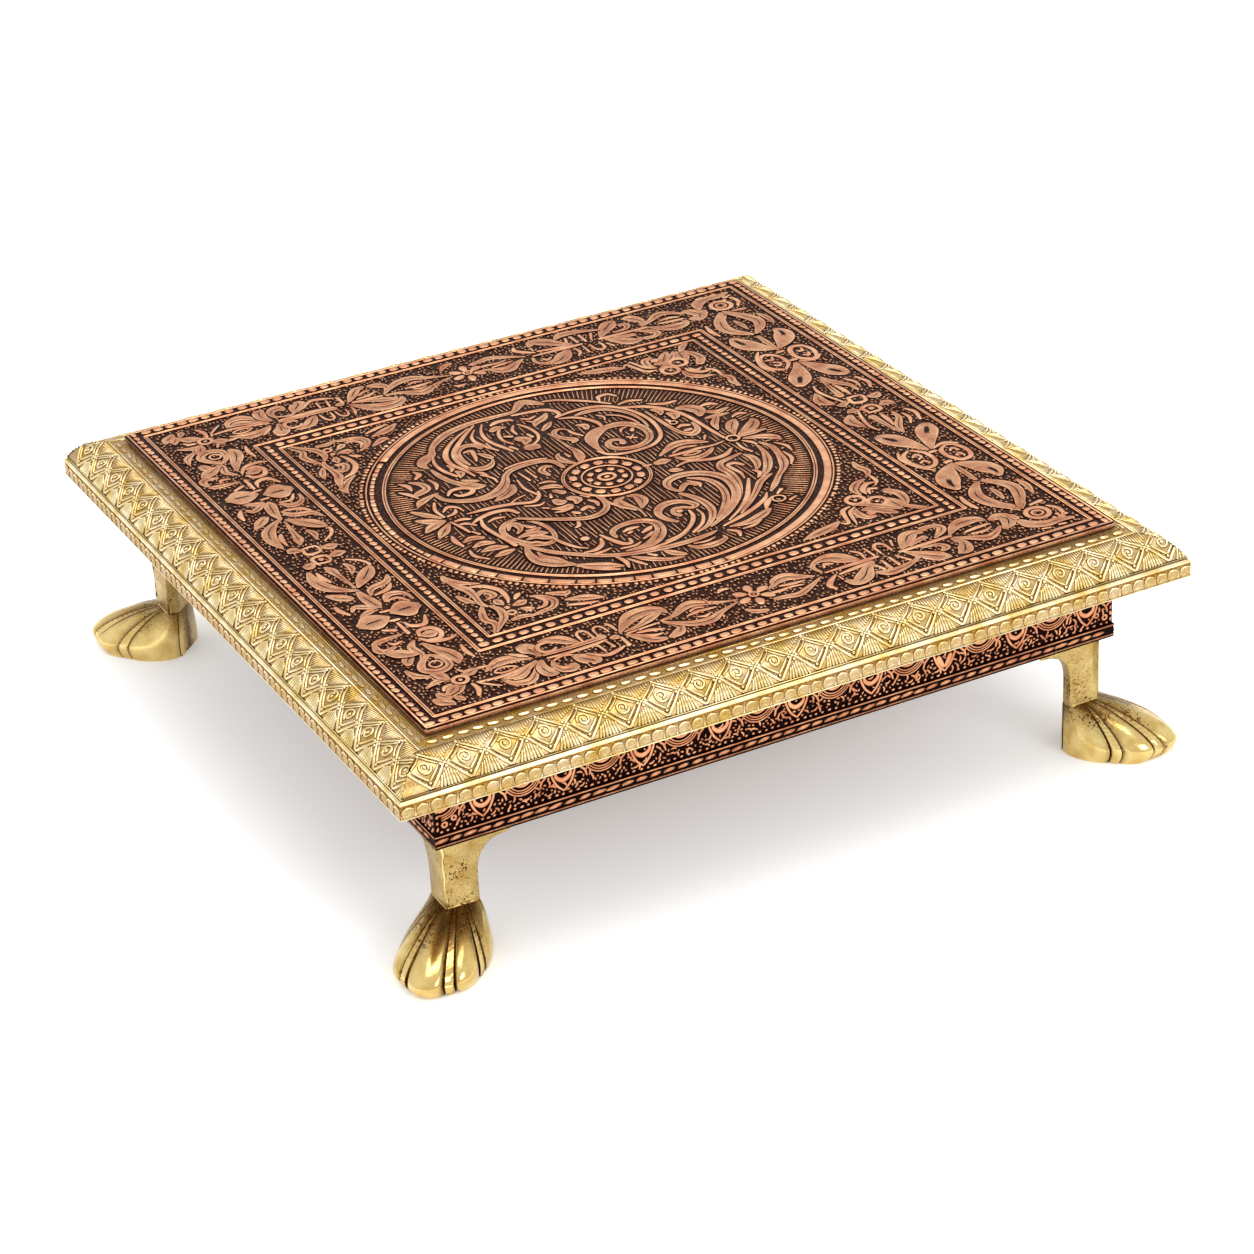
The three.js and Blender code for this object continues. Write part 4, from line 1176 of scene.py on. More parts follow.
def plate_sheet():
    """The bare plate: the top of a box with rounded edges, given the sheet's thickness."""
    clear_selection()
    bpy.ops.mesh.primitive_cube_add(size=1, location=(0, 0, (GROUND + PLATE_FOOT) / 2 * MM))
    sheet = bpy.context.object
    sheet.scale = (2 * PLATE_HALF * MM, 2 * PLATE_HALF * MM, (GROUND - PLATE_FOOT) * MM)
    bpy.ops.object.transform_apply(location=True, rotation=True, scale=True)
    edit_whole(sheet)
    bpy.ops.mesh.select_all(action="DESELECT")
    bpy.ops.mesh.select_mode(type="FACE")
    bpy.ops.object.mode_set(mode="OBJECT")
    for polygon in sheet.data.polygons:
        polygon.select = polygon.normal.z < -0.5
    bpy.ops.object.mode_set(mode="EDIT")
    bpy.ops.mesh.delete(type="FACE")
    bpy.ops.mesh.select_mode(type="EDGE")
    bpy.ops.mesh.select_all(action="DESELECT")
    bpy.ops.object.mode_set(mode="OBJECT")
    for edge in sheet.data.edges:
        edge.select = all(sheet.data.vertices[v].co.z > (GROUND - 0.1) * MM for v in edge.vertices)
    bpy.ops.object.mode_set(mode="EDIT")
    bpy.ops.mesh.bevel(offset=PLATE_ROUNDING * MM, segments=4)
    bpy.ops.object.mode_set(mode="OBJECT")
    solid = sheet.modifiers.new("thickness", "SOLIDIFY")
    solid.thickness = SHEET * MM
    solid.offset = -1
    bpy.ops.object.modifier_apply(modifier="thickness")
    down = [GROUND - vertex.co.z / MM for vertex in sheet.data.vertices]
    # The turned edge darkens towards its foot, where it meets the brass: a painted shadow.
    shine = [GROUND_SHINE if d < 0.05 else TURNED_SHINE if d < TURNED_EDGE else FOOT_PAINTED_SHADOW for d in down]
    keep_metal(sheet.data, shine)
    bpy.ops.object.shade_smooth_by_angle(angle=math.radians(40))
    return sheet


def square_line(relief, reach, half_width, section=DOUBLE_SECTION):
    """A raised line round the plate, at a distance from its middle."""
    corners = [(-reach, -reach), (reach, -reach), (reach, reach), (-reach, reach)]
    for i in range(4):
        (x0, y0), (x1, y1) = corners[i], corners[(i + 1) % 4]
        stroke(relief, [(x0, y0, half_width), (x1, y1, half_width)], section, steps=1)


def bead_row(relief, reach, half_length, half_width, draw):
    """Beads punched by hand: squarish along the front and back, slanted dashes down the sides."""
    for quarter in range(4):
        down_side = quarter % 2 == 1
        pitch = BEAD_PITCH_DOWN_SIDES if down_side else BEAD_PITCH
        count = round(2 * reach / pitch)
        for i in range(count):
            x = -reach + 2 * reach * i / count + draw.uniform(-0.25, 0.25)
            at, = moved([(x, -reach + draw.uniform(-0.08, 0.08))], quarter=quarter)
            long = half_length * (draw.uniform(0.74, 0.9) if down_side else draw.uniform(0.86, 1.1))
            wide = half_width * (draw.uniform(0.68, 0.85) if down_side else draw.uniform(0.85, 1.05))
            slant = draw.uniform(0.15, 0.4) if down_side else draw.uniform(-0.08, 0.12)
            bead(relief, at, long, wide, quarter * math.pi / 2 + slant, round_off=0.75)


def grain(relief, low, high, rng):
    """Small punched grains on the ground between the leaves, within a rectangle."""
    count = int((high[0] - low[0]) * (high[1] - low[1]) * GRAINS_PER_AREA)
    places = np.array([(rng.uniform(low[0], high[0]), rng.uniform(low[1], high[1])) for _ in range(count)])
    kept = []
    for spot in places[free_places(relief, places, GRAIN_GAP)]:
        near = kept and (np.abs(np.array(kept) - spot) < GRAIN_SPACING).all(1).any()
        if not near:
            kept.append(spot)
            long, wide, turn = rng.uniform(0.55, 1.15), rng.uniform(0.36, 0.52), rng.uniform(0.7, 2.4)
            bead(relief, spot, long, wide, turn, 0.95, 6, shine=GRAIN_SHINE)


FRONT_LEAVES = [
    [(-108, -107.8, .8), (-105.5, -107, 1.5), (-103.5, -106.3, 1.2)],
    [(-113, -108.5, .8), (-114.5, -105, 1.8), (-115.5, -101.5, 1.4)],
    [(-121.7, -109.2), (-116.7, -107, 1.1), (-112.6, -107.8, .6)],
    [(-117.6, -113.6), (-116.2, -111.6, .8), (-113.5, -111, .7)],
    [(-117.4, -117.8, .9), (-113.5, -115.6, 1.5), (-110, -113.3, .6)],
    [(-107.6, -114.2, .6), (-107.4, -118.5, .9), (-109, -122.4, .7)],
    [(-105.8, -114.4), (-97.6, -115.3, .8), (-88.5, -114, .8), (-83, -112)],
    [(-105.8, -115, .4), (-102.6, -118.7, .6), (-100, -121, .4)],
    [(-83.5, -110), (-87.6, -107, 1.4), (-93, -106, 1.8), (-97.6, -107.8, 1.1), (-100.4, -109.6, .3)],
    [(-103.5, -106.2), (-100.5, -106.2, .8), (-98, -106.6, .4)],
    [(-90, -111.8, .4), (-92.5, -110.2), (-95.8, -110), (-98, -111.8), (-95.4, -113.2), (-92.3, -113),
     (-90, -111.8, .4)],
    [(-83, -112.8), (-88.5, -115.9, 1.1), (-93, -117.9, 1.3), (-97.6, -117.4, .6)],
    [(-98, -117.4), (-96, -121.6, 1.1), (-91, -123.2, 1.4), (-87.6, -120.5, 1.1), (-84.4, -115.4)],
    [(-94.8, -119.6, .4), (-91.5, -119.8, .6), (-88, -117.4, .4)],
    [(-81.7, -113.3, .7), (-83.6, -117.8, 1.5), (-83, -122.3, 1.7), (-81, -124, .8)],
    [(-82.8, -100.9, 1.8), (-81.6, -103.5, 2.2), (-80.8, -106.5, 1.3), (-80.4, -109.6, .7)],
    [(-88.5, -103.5, .6), (-86, -106.2, .9), (-84.2, -108.2)],
    [(-73.2, -107.6), (-75.4, -109.2, .8), (-78.3, -108.2, .8), (-79, -105.4, .8), (-77.4, -103, .8),
     (-74.2, -102.9, .7), (-72.8, -104.6)],
    [(-76.5, -100.9), (-73.5, -100.9, 1), (-70.2, -102.8, 1.7), (-67.6, -106, 1.5), (-65.4, -108.4, .6)],
    [(-79.5, -110.4, .6), (-72, -110.4, .9), (-62, -110.2, 1), (-56.5, -109.8, 1.1)],
    [(-79, -112.4), (-70.4, -112.9, .8), (-62, -112.5, .9), (-56.7, -111.7, .7)],
    [(-63.8, -108.4), (-63.4, -103.4, .6), (-61.4, -101.6, .6), (-59.8, -103.4, .6), (-59.5, -108)],
    [(-57.6, -108, .4), (-57.2, -103.4, .55), (-55.3, -101.8, .6), (-53.7, -103.6, .55),
     (-53.4, -107.4, .4)],
    [(-51.7, -101.6), (-50.8, -104.4, .7), (-50.7, -108, .4)], [(-61, -113.8), (-60.6, -118.6, .6)],
    [(-57.4, -113), (-56.7, -117.8, .6)], [(-51.7, -113, .6), (-51.8, -119.2, .8)],
    [(-78.2, -115, .6), (-79.4, -118.2, .9), (-78, -122, 1.4), (-74.8, -122.8, 1.6), (-73.6, -120.6, 1)],
    [(-78, -115.3), (-74, -113.9, .7), (-71, -115.2)],
    [(-71.3, -115.4, .6), (-69.2, -118.6, 1.9), (-66.6, -122.2, 2), (-67.5, -124, .8)],
    [(-66.7, -117), (-61.8, -121.6, .9), (-56.9, -120.8, .9), (-53.5, -119.2, .4)],
    [(-54.6, -112.2, 1), (-52.8, -112.2, 1.2)],
    [(-50.4, -110), (-46.7, -106, 1.4), (-42.2, -102.2, 2.2), (-36.2, -101, 2), (-31.6, -102.9, 1.3),
     (-30.4, -106)],
    [(-49, -110.7, .4), (-43, -109.4, .9), (-37.6, -107, 1.4), (-32.8, -104.9, .9)],
    [(-48.5, -111.8), (-42, -111.3, .6), (-36.2, -111)],
    [(-49.5, -112.6, .6), (-46.2, -117, 1.4), (-43, -121, 1.4), (-39.5, -122.4, .9)],
    [(-37.6, -122, .8), (-34, -120.8, 1.5), (-31.5, -117.8, 1.1), (-33, -114.2, .8), (-35, -111.7)],
    [(-45.8, -113.3), (-40.8, -114.1, .9), (-36.6, -115.8, .4)],
    [(-44.2, -116, .4), (-41, -118, .7), (-38.4, -118.2, .4)],
    [(-35, -110.3), (-29.5, -109.4, .9), (-24.4, -106.2, 1.4), (-20.4, -105.2, 1.6), (-15.8, -107.6, 1.1),
     (-11.3, -109.8, .7), (-5.8, -111.5, .3)],
    [(-35, -111.3), (-32, -114.4, .9), (-26.7, -118.2, 1.4), (-20.4, -119.1, 1.5), (-15, -116.2, 1),
     (-6.7, -112.9, .3)],
    [(-26, -112.2, .4), (-21, -111.2, .9), (-14.4, -111.9, .4)],
    [(-23.4, -109.6), (-20.6, -108.6, .6), (-18, -109.6, .4)],
    [(-23.4, -114.4, .4), (-20.6, -115.4, .7), (-17.6, -114.2, .4)], [(-15.6, -104.8, .4), (-15.2, -108.6)],
    [(-15.2, -115.2, .4), (-15.6, -119.2)], [(-9, -103.2), (-7, -102, .9), (-4.4, -102.4)],
    [(-7.2, -119, .6), (-4.6, -122.2, 1.1), (-1, -123.4, .8)],
    [(3.6, -110.4), (9, -109.4, .8), (11.6, -106.9, 1.5), (16, -105.7, 1.8), (20, -108.3, 1.3),
     (24.6, -110.9, .4)],
    [(5, -117.8, .8), (9.6, -118.6, 1.1), (13.8, -119.3, 1.2), (19, -117, 1), (26.4, -112.6, .4)],
    [(5.5, -113), (9.4, -113.6, .8), (14.6, -113.2, .6), (18.6, -114, .4)],
    [(11, -110.6), (16, -111.4, .8), (20.4, -111.6, .4)],
    [(28.2, -109.8), (27.5, -105, .8), (30.6, -102, 1), (35.8, -101.7, 1.9), (39.6, -104.8, 2.2),
     (43.4, -108.7, .9)],
    [(30.8, -107.2), (32.4, -105, .8), (34.8, -106.4)],
    [(29, -110.9), (36, -110.8, .8), (44, -110.6, 1), (50.4, -110.6, .7)],
    [(32.7, -114.4), (39, -113.4, .9), (47, -112.3, .8)],
    [(31.4, -113.9), (27.6, -117, 1), (25.4, -120, 1), (26.4, -123)],
    [(31.8, -120, .8), (34.5, -122.8, 1.6), (39, -120.6, 2.1), (43.6, -115.4, 1.3), (47.3, -113)],
    [(31.4, -115.4, .4), (31.6, -118.4)], [(46.2, -108.9), (46.6, -104.4, .7), (44.6, -101.6)],
    [(49.6, -102.4, .6), (50, -109)],
    [(52.9, -108.6), (53, -104, .7), (55, -101.8, .7), (57, -103.6, .7), (57.2, -108.8)],
    [(59.2, -106), (60.6, -102.2, .6)], [(41.6, -118.4, .9), (43, -119.6, .8)],
    [(46, -114.4), (47.6, -119.6, .7)], [(50, -113.4, .6), (50, -120, .7)],
    [(53.4, -113, .6), (53.6, -119.4, .7)], [(56, -113), (58.6, -118.6, .7)],
    [(43.6, -120.6, .7), (47.6, -123, 1.5), (54.5, -122.2, 1.2), (62.7, -118.9)],
    [(60.5, -109.8, .6), (63.6, -107, 1.6), (67.3, -102.9, 2.1), (71, -101.8, 1.4), (73, -103.4, .6)],
    [(64, -110), (68.2, -107.9, 1), (72, -107, 1.1)],
    [(74, -101.2, 1.2), (78.2, -101, 1), (80.6, -103.3, 1.2), (79, -106.2, 1.3), (74.5, -109.6)],
    [(58.6, -111.4, .7), (69, -111.2, .9), (80, -110.9, .8)],
    [(60, -112.6, .6), (63.6, -117, 1.6), (68.4, -121.8, 2.2), (71.4, -124, .9)],
    [(66.4, -113.3), (72.4, -114.4, .9), (74, -117.6, 1.2), (71.4, -119, .8)],
    [(79, -112.9, .6), (80.9, -117.6, 1.3), (78.6, -122.4, 1.9), (75.6, -123.6, .8)],
    [(80, -110.3), (84.5, -106.2, 1.5), (89, -104.5, 2), (94, -105.2, 1.5), (96.2, -107.6, .6)],
    [(80, -113), (84.5, -116, 1.1), (90, -119.3, 1.5), (94.5, -117.7, 1.1), (98.2, -114.4, .6)],
    [(85.6, -111.3), (91.4, -110.5, .9), (96.2, -110.2, .6)],
    [(87, -113.4, .4), (91.6, -114.2, .8), (95.6, -112.8, .4)],
    [(98.4, -108, 1), (101.8, -107.6, 1.7), (103.8, -110.4, 2), (102, -114.2, 1.7), (99.2, -116.2, 1)],
    [(106, -109.4, .9), (106.4, -112.4, 1.1)],
    [(105.9, -114.8, 1.1), (107.6, -119, 1.7), (112.7, -121.8, 1.5), (118.2, -121.6, 1.3),
     (123.4, -122.9, .7)],
    [(121, -109.6, .6), (123.3, -113.3, .9), (122.6, -118.2, .8)], [(116.4, -106, .6), (121.8, -105.2, .9)],
    [(109.4, -124), (112.6, -124.6, .7)], [(116.4, -124.2, .7), (119, -124.8, .6)],
    [(108, -99, .9), (109.8, -103.4, 1.5), (111.4, -106.8, .6)],
    [(117.6, -99.4, .8), (114.4, -103.4, 1.3), (112.6, -107)],
]


LEFT_LEAVES = [
    [(-115.4, -6.8, .6), (-115.4, -2, .8), (-110.4, -2, .7), (-110.4, -6.8, .6), (-115.4, -6.8)],
    [(-116.6, -5.4, .8), (-118.8, -7, 1.7), (-120.4, -6.2, .8)],
    [(-109, -4, .8), (-106, -3.2, 1.6), (-103.4, -3.4, .7)],
    [(-114.4, -10.6), (-113.3, -14.4, 1.4), (-112.8, -19, 1), (-111.7, -31, .4)],
    [(-118.6, -13), (-118.4, -18, 1), (-117, -22, .6)],
    [(-105.6, -8.9), (-101.7, -12.2, .7), (-100, -16.7, .7), (-101.7, -19.4, .4)],
    [(-107.6, -11.6), (-106.6, -16, 1.1), (-108, -20, .6)],
    [(-106.7, -22.2, .4), (-109, -26, .6), (-111, -31, .4)],
    [(-98.3, -27.8), (-100.6, -32.2, 1.2), (-107.2, -34.4, 1.2), (-109.4, -38.9)],
    [(-100, -34.4), (-102.8, -37.8, 1), (-108.3, -39.4)],
    [(-112.2, -33.3, .6), (-112.2, -38.9, 1.4), (-111.1, -45.6, 1.6), (-110.3, -48.9)],
    [(-120, -46.7, .6), (-118.3, -44.4, 1), (-115.6, -45.6, 1.2), (-112.2, -48.9, .6)],
    [(-107.2, -45.6), (-105, -42.2, 1.2), (-101.7, -41.7, 1.2), (-98.9, -44.4, .8), (-98.3, -48.9)],
    [(-107.2, -46.2, .4), (-102.8, -45.6, .8), (-100, -50, .4)],
    [(-123.6, -40, .6), (-123.4, -44, 1), (-121.6, -48, .6)],
    [(-118.8, -51.6, .7), (-114.8, -49.6, 1.2), (-112, -49.8, .6)], [(-112, -52, .6), (-108.6, -52.4, .7)],
    [(-112, -59.6, .6), (-108.6, -60, .7)], [(-117, -64.4, .6), (-113, -66.7, .9)],
    [(-108.3, -63.3), (-107.2, -66.7, .9), (-102.8, -67.8, 1), (-100, -62.2)],
    [(-110.3, -62.2, .6), (-110.3, -71, .8)],
    [(-123.9, -72.2, .8), (-120.6, -71.1, 1.2), (-112.8, -70.6, .6)],
    [(-123.9, -73.3, .8), (-124.4, -76.7, 1.2), (-122.8, -78.9, 1.2), (-118.3, -77.8, .7)],
    [(-119, -73.6), (-117.6, -75.6, .8), (-114.6, -75)],
    [(-108, -74.6, .6), (-106.6, -71.4, .9), (-102.4, -71.4, 1), (-100.6, -75.6, .9), (-102.6, -79.6, .9),
     (-106.6, -79, .6)],
    [(-105, -74.6, .8), (-103.6, -76, .9)],
    [(-109, -76.7, .6), (-106, -81, .9), (-100.6, -82.2, .9), (-97.2, -81, .4)],
    [(-111, -76.7), (-113.9, -81, 1.2), (-112.8, -86.7, .9), (-115, -91)],
    [(-111.7, -88.9, .8), (-116, -93.3, 1.1), (-117.2, -97.8, 1.2), (-112.8, -101, 1.3),
     (-108.3, -98.9, 1.1), (-108.3, -93.3, 1), (-111.2, -89, .7)],
    [(-122.6, -95, .6), (-121.4, -99.6, 1.2), (-117.6, -103, .8)],
    [(-99, -88), (-99.6, -93, .9), (-98.8, -98)], [(-107.8, -103.3, .6), (-106, -106.7, .6)],
]
RIGHT_LEAVES = [
    [(110.6, -8, .7), (110.2, -3, .9), (115, -2.2, .8), (116, -7.4, .8), (110.6, -8, .6)],
    [(117.6, -4.6, .8), (120.4, -4, 1.6), (122.6, -5.6, .8)],
    [(108.8, -4.4, .6), (105.6, -3.4, 1.3), (103.6, -4, .6)],
    [(103.3, -6, .8), (100.6, -11, 1.8), (102.8, -18.3, .6)],
    [(107.2, -5), (105, -12.2, .7), (103.9, -18.9, .7), (105, -23.9, .4)],
    [(109.4, -11, 1.2), (110, -18.9, .9), (110.9, -28.9, .4)],
    [(113.4, -10.6), (113.2, -16, 1), (112.4, -22)],
    [(117.8, -12.2, .6), (117.2, -17.8, 1), (113.3, -23.9, 1.2), (111.7, -30)],
    [(123.3, -12.2, .6), (125, -16.7, .9), (123.3, -23.3, .6)],
    [(120.4, -15), (120.8, -19.6, .8), (118.6, -24)],
    [(104.4, -44.4, .6), (100.4, -47.6, .9), (99.6, -53, 1), (101.4, -58.6, 1), (105.4, -60.2, .9),
     (108.8, -56, .9), (108.8, -49, .9), (105.4, -44.6, .6)],
    [(103, -50, .6), (105, -48.6, .7), (106, -51, .6), (104, -52.6)],
    [(103, -55.6, .6), (105, -54.6, .7), (106, -57)],
    [(118.7, -47.4, .6), (114.8, -50.6, .9), (114.4, -56, 1), (117, -61, 1), (121.4, -60.4, .9),
     (123.2, -55, .9), (121.6, -49, .8), (118.9, -47.4, .6)],
    [(117.6, -52.4, .6), (119.4, -51, .7), (120.4, -53.6, .6)],
    [(117.4, -57, .6), (119.4, -56, .7), (120, -58.6)],
    [(100, -44.4), (98.3, -50, .9), (100.6, -58.9, .9), (103.9, -63.9, .4)],
    [(113.3, -47.8), (118.9, -46, .9), (123.3, -48.9)], [(110.4, -50, .8), (113, -50, .8)],
    [(110.4, -60, .8), (113, -60, .8)], [(99.6, -87, .6), (98.8, -92, 1), (99.6, -98, .6)],
    [(124, -86, .6), (124.4, -92, 1.1), (123, -98, .6)],
]
LEFT_SPANDREL = [
    [(-82.8, -39.4), (-82.8, -43.3, 1.3), (-80.6, -46.7, 1.2), (-77.8, -49.4, .9), (-74.4, -51.7, .4)],
    [(-83.3, -44.4), (-81.7, -50, 1.2), (-80, -54.4, 1.3), (-80, -60, 1), (-80.6, -65.6, .9), (-79.4, -69)],
    [(-85, -56, .7), (-83.9, -60, 1.1), (-81.7, -64.4)],
    [(-78.3, -52.2), (-73.9, -54.4, 1), (-70.6, -60, 1), (-71, -66.7, .8), (-72.2, -70, .4)],
    [(-79.4, -60, .6), (-76, -57.8, 1.1), (-73.9, -62.2, 1.1), (-77.2, -63.9)],
    [(-80.6, -66.7, .4), (-82.8, -71, 1), (-84.4, -76.7, 1.2), (-82.8, -81, 1), (-86, -87.4, .4)],
    [(-79, -69), (-77.2, -73.3, 1.1), (-78.3, -78.9, 1.2), (-81.7, -83.3, .9), (-85, -87.4, .4)],
    [(-74.4, -70, .7), (-75, -67.5, 1.3), (-75.2, -65.6, .6)],
    [(-71.4, -72.8, .7), (-68.3, -72.2, 1.4), (-66.4, -71.6, .6)],
    [(-70.4, -76, .6), (-68.3, -77.8, 1.2), (-66.6, -78.4)],
    [(-69, -68.6, .6), (-67.2, -66.7, 1), (-65.8, -65.8)],
    [(-63.9, -70), (-60.6, -72.2, .9), (-58.3, -76.7, 1.1), (-60.6, -81, 1), (-66, -82.2, .9),
     (-70.6, -83.3, .4)],
    [(-62.8, -72.2, .4), (-61, -75.6, .8), (-62.8, -78.9, .8), (-66, -79.4, .4)],
    [(-76.7, -82.2, .7), (-72.8, -81.7, 1.1), (-68.3, -83.3)],
    [(-58.3, -71, .6), (-52.8, -74.4, 1.3), (-50.6, -73.3, .4)],
    [(-55, -78.9), (-48.3, -81, 1.5), (-42.8, -84.4)], [(-56, -82.6), (-51, -84.6, .9), (-46, -86)],
]
RIGHT_SPANDREL = [
    [(82.8, -41), (82.2, -45.6, 1.2), (83.3, -50, 1.2), (81, -54.4)],
    [(81.7, -53.3), (81.7, -58.9, .8), (79.4, -62.2, .4)],
    [(78.9, -55.6), (74.4, -57.2, 1.2), (71, -61, 1.2), (71, -65.6)],
    [(80, -60), (76.7, -60, 1), (73.3, -63.3, 1), (72.8, -66.7, .4)],
    [(78.9, -64.4, .4), (75.6, -63.3, .9), (74.4, -66.7, .4)],
    [(77.2, -73.3, .8), (77.5, -78, 2.1), (78.6, -83, .8)],
    [(80, -67.8, 1.3), (82.8, -72.2, 1.4), (82.2, -77.8, 1.2), (80, -82.2)],
    [(79.4, -82.2, .9), (82.2, -85.6, 1.1), (85, -87.4)],
    [(63.3, -74.4, .7), (62.2, -77.8, 1.2), (63.3, -82.2, 1.2), (66.7, -83.3, .7)],
    [(63.9, -71), (68.9, -74.4, 1), (73.3, -78.9, 1.2), (76.7, -83.3)],
    [(65, -76.7, .7), (68.9, -77.8, 1.6), (72.2, -82.2, 1.4), (74.4, -85, .7)],
    [(62.8, -71.7), (58.9, -73.3, .9), (57.2, -77.8, .8), (55.6, -82.8, .7), (53.3, -81, .4)],
    [(63.9, -73.3, .4), (60.6, -75.6, .7), (58.9, -80, .7), (57.8, -84.4, .4)],
    [(53.3, -80), (48.9, -82.2, 1.4), (42.2, -83.9, 1.5), (35.6, -85.6, .4)],
]
LEFT_PETALS = [
    [(-111.2, -57, .9), (-113.4, -57.2, 3.6), (-116.4, -57.5, 5.6), (-119.4, -57.8, 5.4),
     (-121.6, -58, 2.8)],
    [(-109.2, -55, .9), (-107.2, -54.8, 3.8), (-104.8, -54.7, 6), (-102, -54.6, 5.8), (-100, -54.6, 3)],
    [(-107.6, -75.6, .8), (-105.8, -75.6, 2.2), (-103.9, -75.8, 2.6), (-102.4, -75.8, 1.5)],
    [(-123.2, -117.4, .8), (-121.6, -119.6, 2.4), (-119.4, -121.8, 1.9), (-118.4, -123.6, .8)],
    [(-120.4, -114.6, .9), (-119.6, -117, 2), (-117.8, -119.4, 1.2)],
    [(-116.6, -119.2, .6), (-115.4, -121.2, 1.5), (-114.6, -123, .8)],
    [(-113.2, -107.6, .9), (-114.2, -104.8, 2.2), (-115.6, -101.6, 1.5)],
    [(-107.4, -108.8, .9), (-105.4, -107.6, 2.2), (-102.8, -106.4, 1.4)],
    [(-112.8, -113, .9), (-114.8, -114.8, 2.1), (-117.4, -117, 1.2)],
]
BROAD_PETALS = [
    [(-111, -31.5), (-108, -28, 2.2), (-104.5, -24, 3.2), (-102, -20.5, 2.2), (-100.8, -18.6, .8)],
    [(-121, -11.5, .8), (-121.8, -18, 2.3), (-120.4, -25, 2.8), (-116, -30.4, 1.5), (-111.8, -33.4)],
    [(-122.8, -31, .8), (-119.4, -34.6, 2.4), (-116.4, -37.6, 1.6)],
    [(-122.5, -80.8, 1.4), (-119.5, -83, 3), (-116, -85.4, 2), (-113.8, -86.4, .8)],
    [(-109.6, -80, .6), (-107.6, -86, 2), (-105.2, -91, 2.8), (-104.2, -95.6, 2.4), (-105, -98.9, .9)],
    [(-115.4, -85.4, .9), (-118.4, -87.8, 2.2), (-119.6, -90.8, 1.6)],
    [(111.2, -80.4, .9), (107, -85, 2.2), (104.6, -90.6, 2.9), (106, -97.6, 2.8), (110, -104.6, 1.4)],
    [(112.8, -80.4, .9), (117.4, -85.6, 2.2), (119.4, -91.4, 2.6), (117, -98.6, 2.4), (112.6, -105, 1.2)],
    [(112.1, -87), (112.3, -91.4, 1.3), (111.6, -96.4, .7)],
    [(111.8, -62, .8), (111.8, -70, 1.3), (111.9, -78, .9)],
]
LOBES = [
    [(111, -47.5, .8), (109.4, -42.4, 2.4), (106.8, -37, 4.2), (104.2, -32.4, 4.7), (102, -28.6, 2.8)],
    [(113, -47.5, .8), (115, -42.4, 2.4), (117.6, -37, 4.1), (120.2, -32.4, 4.6), (122.2, -28.8, 2.8)],
    [(110.9, -63, .8), (107.6, -66.4, 3), (104.4, -71, 4.6), (102.4, -76, 4.2), (102.2, -80.8, 1.8)],
    [(113.1, -63, .8), (116.6, -66.4, 2.9), (119.8, -70.8, 4.4), (121.6, -75.4, 3.8), (121, -79.6, 1.6)],
]


def drawn(shape, flip=False):
    """The points of a drawn stroke, mirrored for the far half, each with its half width."""
    return [(x, -y if flip else y, *(width or [HALF_WIDTH])) for x, y, *width in shape]


def leaf(relief, shape, flip=False):
    """A drawn stroke struck into the plate, veined where it is broad."""
    line = drawn(shape, flip)
    wide = max(half_width for _, _, half_width in line)
    section = PETAL_SECTION if wide > PETAL_WIDTH else VEINED_SECTION if wide > VEINED_WIDTH else FLAT_SECTION
    stroke(relief, [
        (x, y, half_width * (HEAVIER + HEAVIER_WHEN_WIDE * min(half_width, HEAVIEST_WIDTH)))
        for x, y, half_width in line
    ], section)


def flower(relief, centre, reach, petals, petal_half, ring_radius, turn=0.0):
    """A ring with an eye, and petals from close to the ring out to their reach."""
    ring(relief, centre, ring_radius, 0.6, steps=14)
    bead(relief, centre, ring_radius * 0.35, ring_radius * 0.35, sides=6)
    near = ring_radius + 1.2
    for i in range(petals):
        a = turn + 2 * math.pi * i / petals
        stroke(relief, [
            (centre[0] + out * math.cos(a + sway), centre[1] + out * math.sin(a + sway), petal_half * share)
            for out, sway, share in ((near, 0, 0.5), ((near + reach) / 2, 0.06, 1), (reach, 0, 0.75))
        ], steps=2)


def eyes(relief, sign):
    """The flowers, rings and beads at the middles of the leaves, on the near or the far half."""
    ring(relief, (-109.9, -110.3 * sign), 2.5, 0.85, steps=16)
    bead(relief, (-109.9, -110.3 * sign), 0.9, 0.9, sides=6)
    flower(relief, (0.5, -111.2 * sign), 6.6, 6, 1.9, 1.6, 0.4)
    ring(relief, (115, -112.8 * sign), 4.2, 1.1, steps=18)
    ring(relief, (115, -112.8 * sign), 2.0, 0.6, steps=12)
    flower(relief, (120.6, -119.6 * sign), 3.0, 5, 1.1, 0.9, 0.3)
    ring(relief, (-111.9, -95.6 * sign), 2.2, 0.5, steps=12)
    bead(relief, (-74.1, -72.8 * sign), 1.2, 1.2)
    ring(relief, (-74.4, -76.9 * sign), 1.5, 0.6, steps=10)
    ring(relief, (67.2, -68.3 * sign), 3.3, 1.0, steps=16)
    ring(relief, (73.3, -73.3 * sign), 3.4, 1.0, steps=16)
    bead(relief, (67.2, -68.3 * sign), 1.0, 1.0)
    bead(relief, (73.3, -73.3 * sign), 1.0, 1.0)
    bead(relief, (66.7, -80 * sign), 2.0, 1.9)


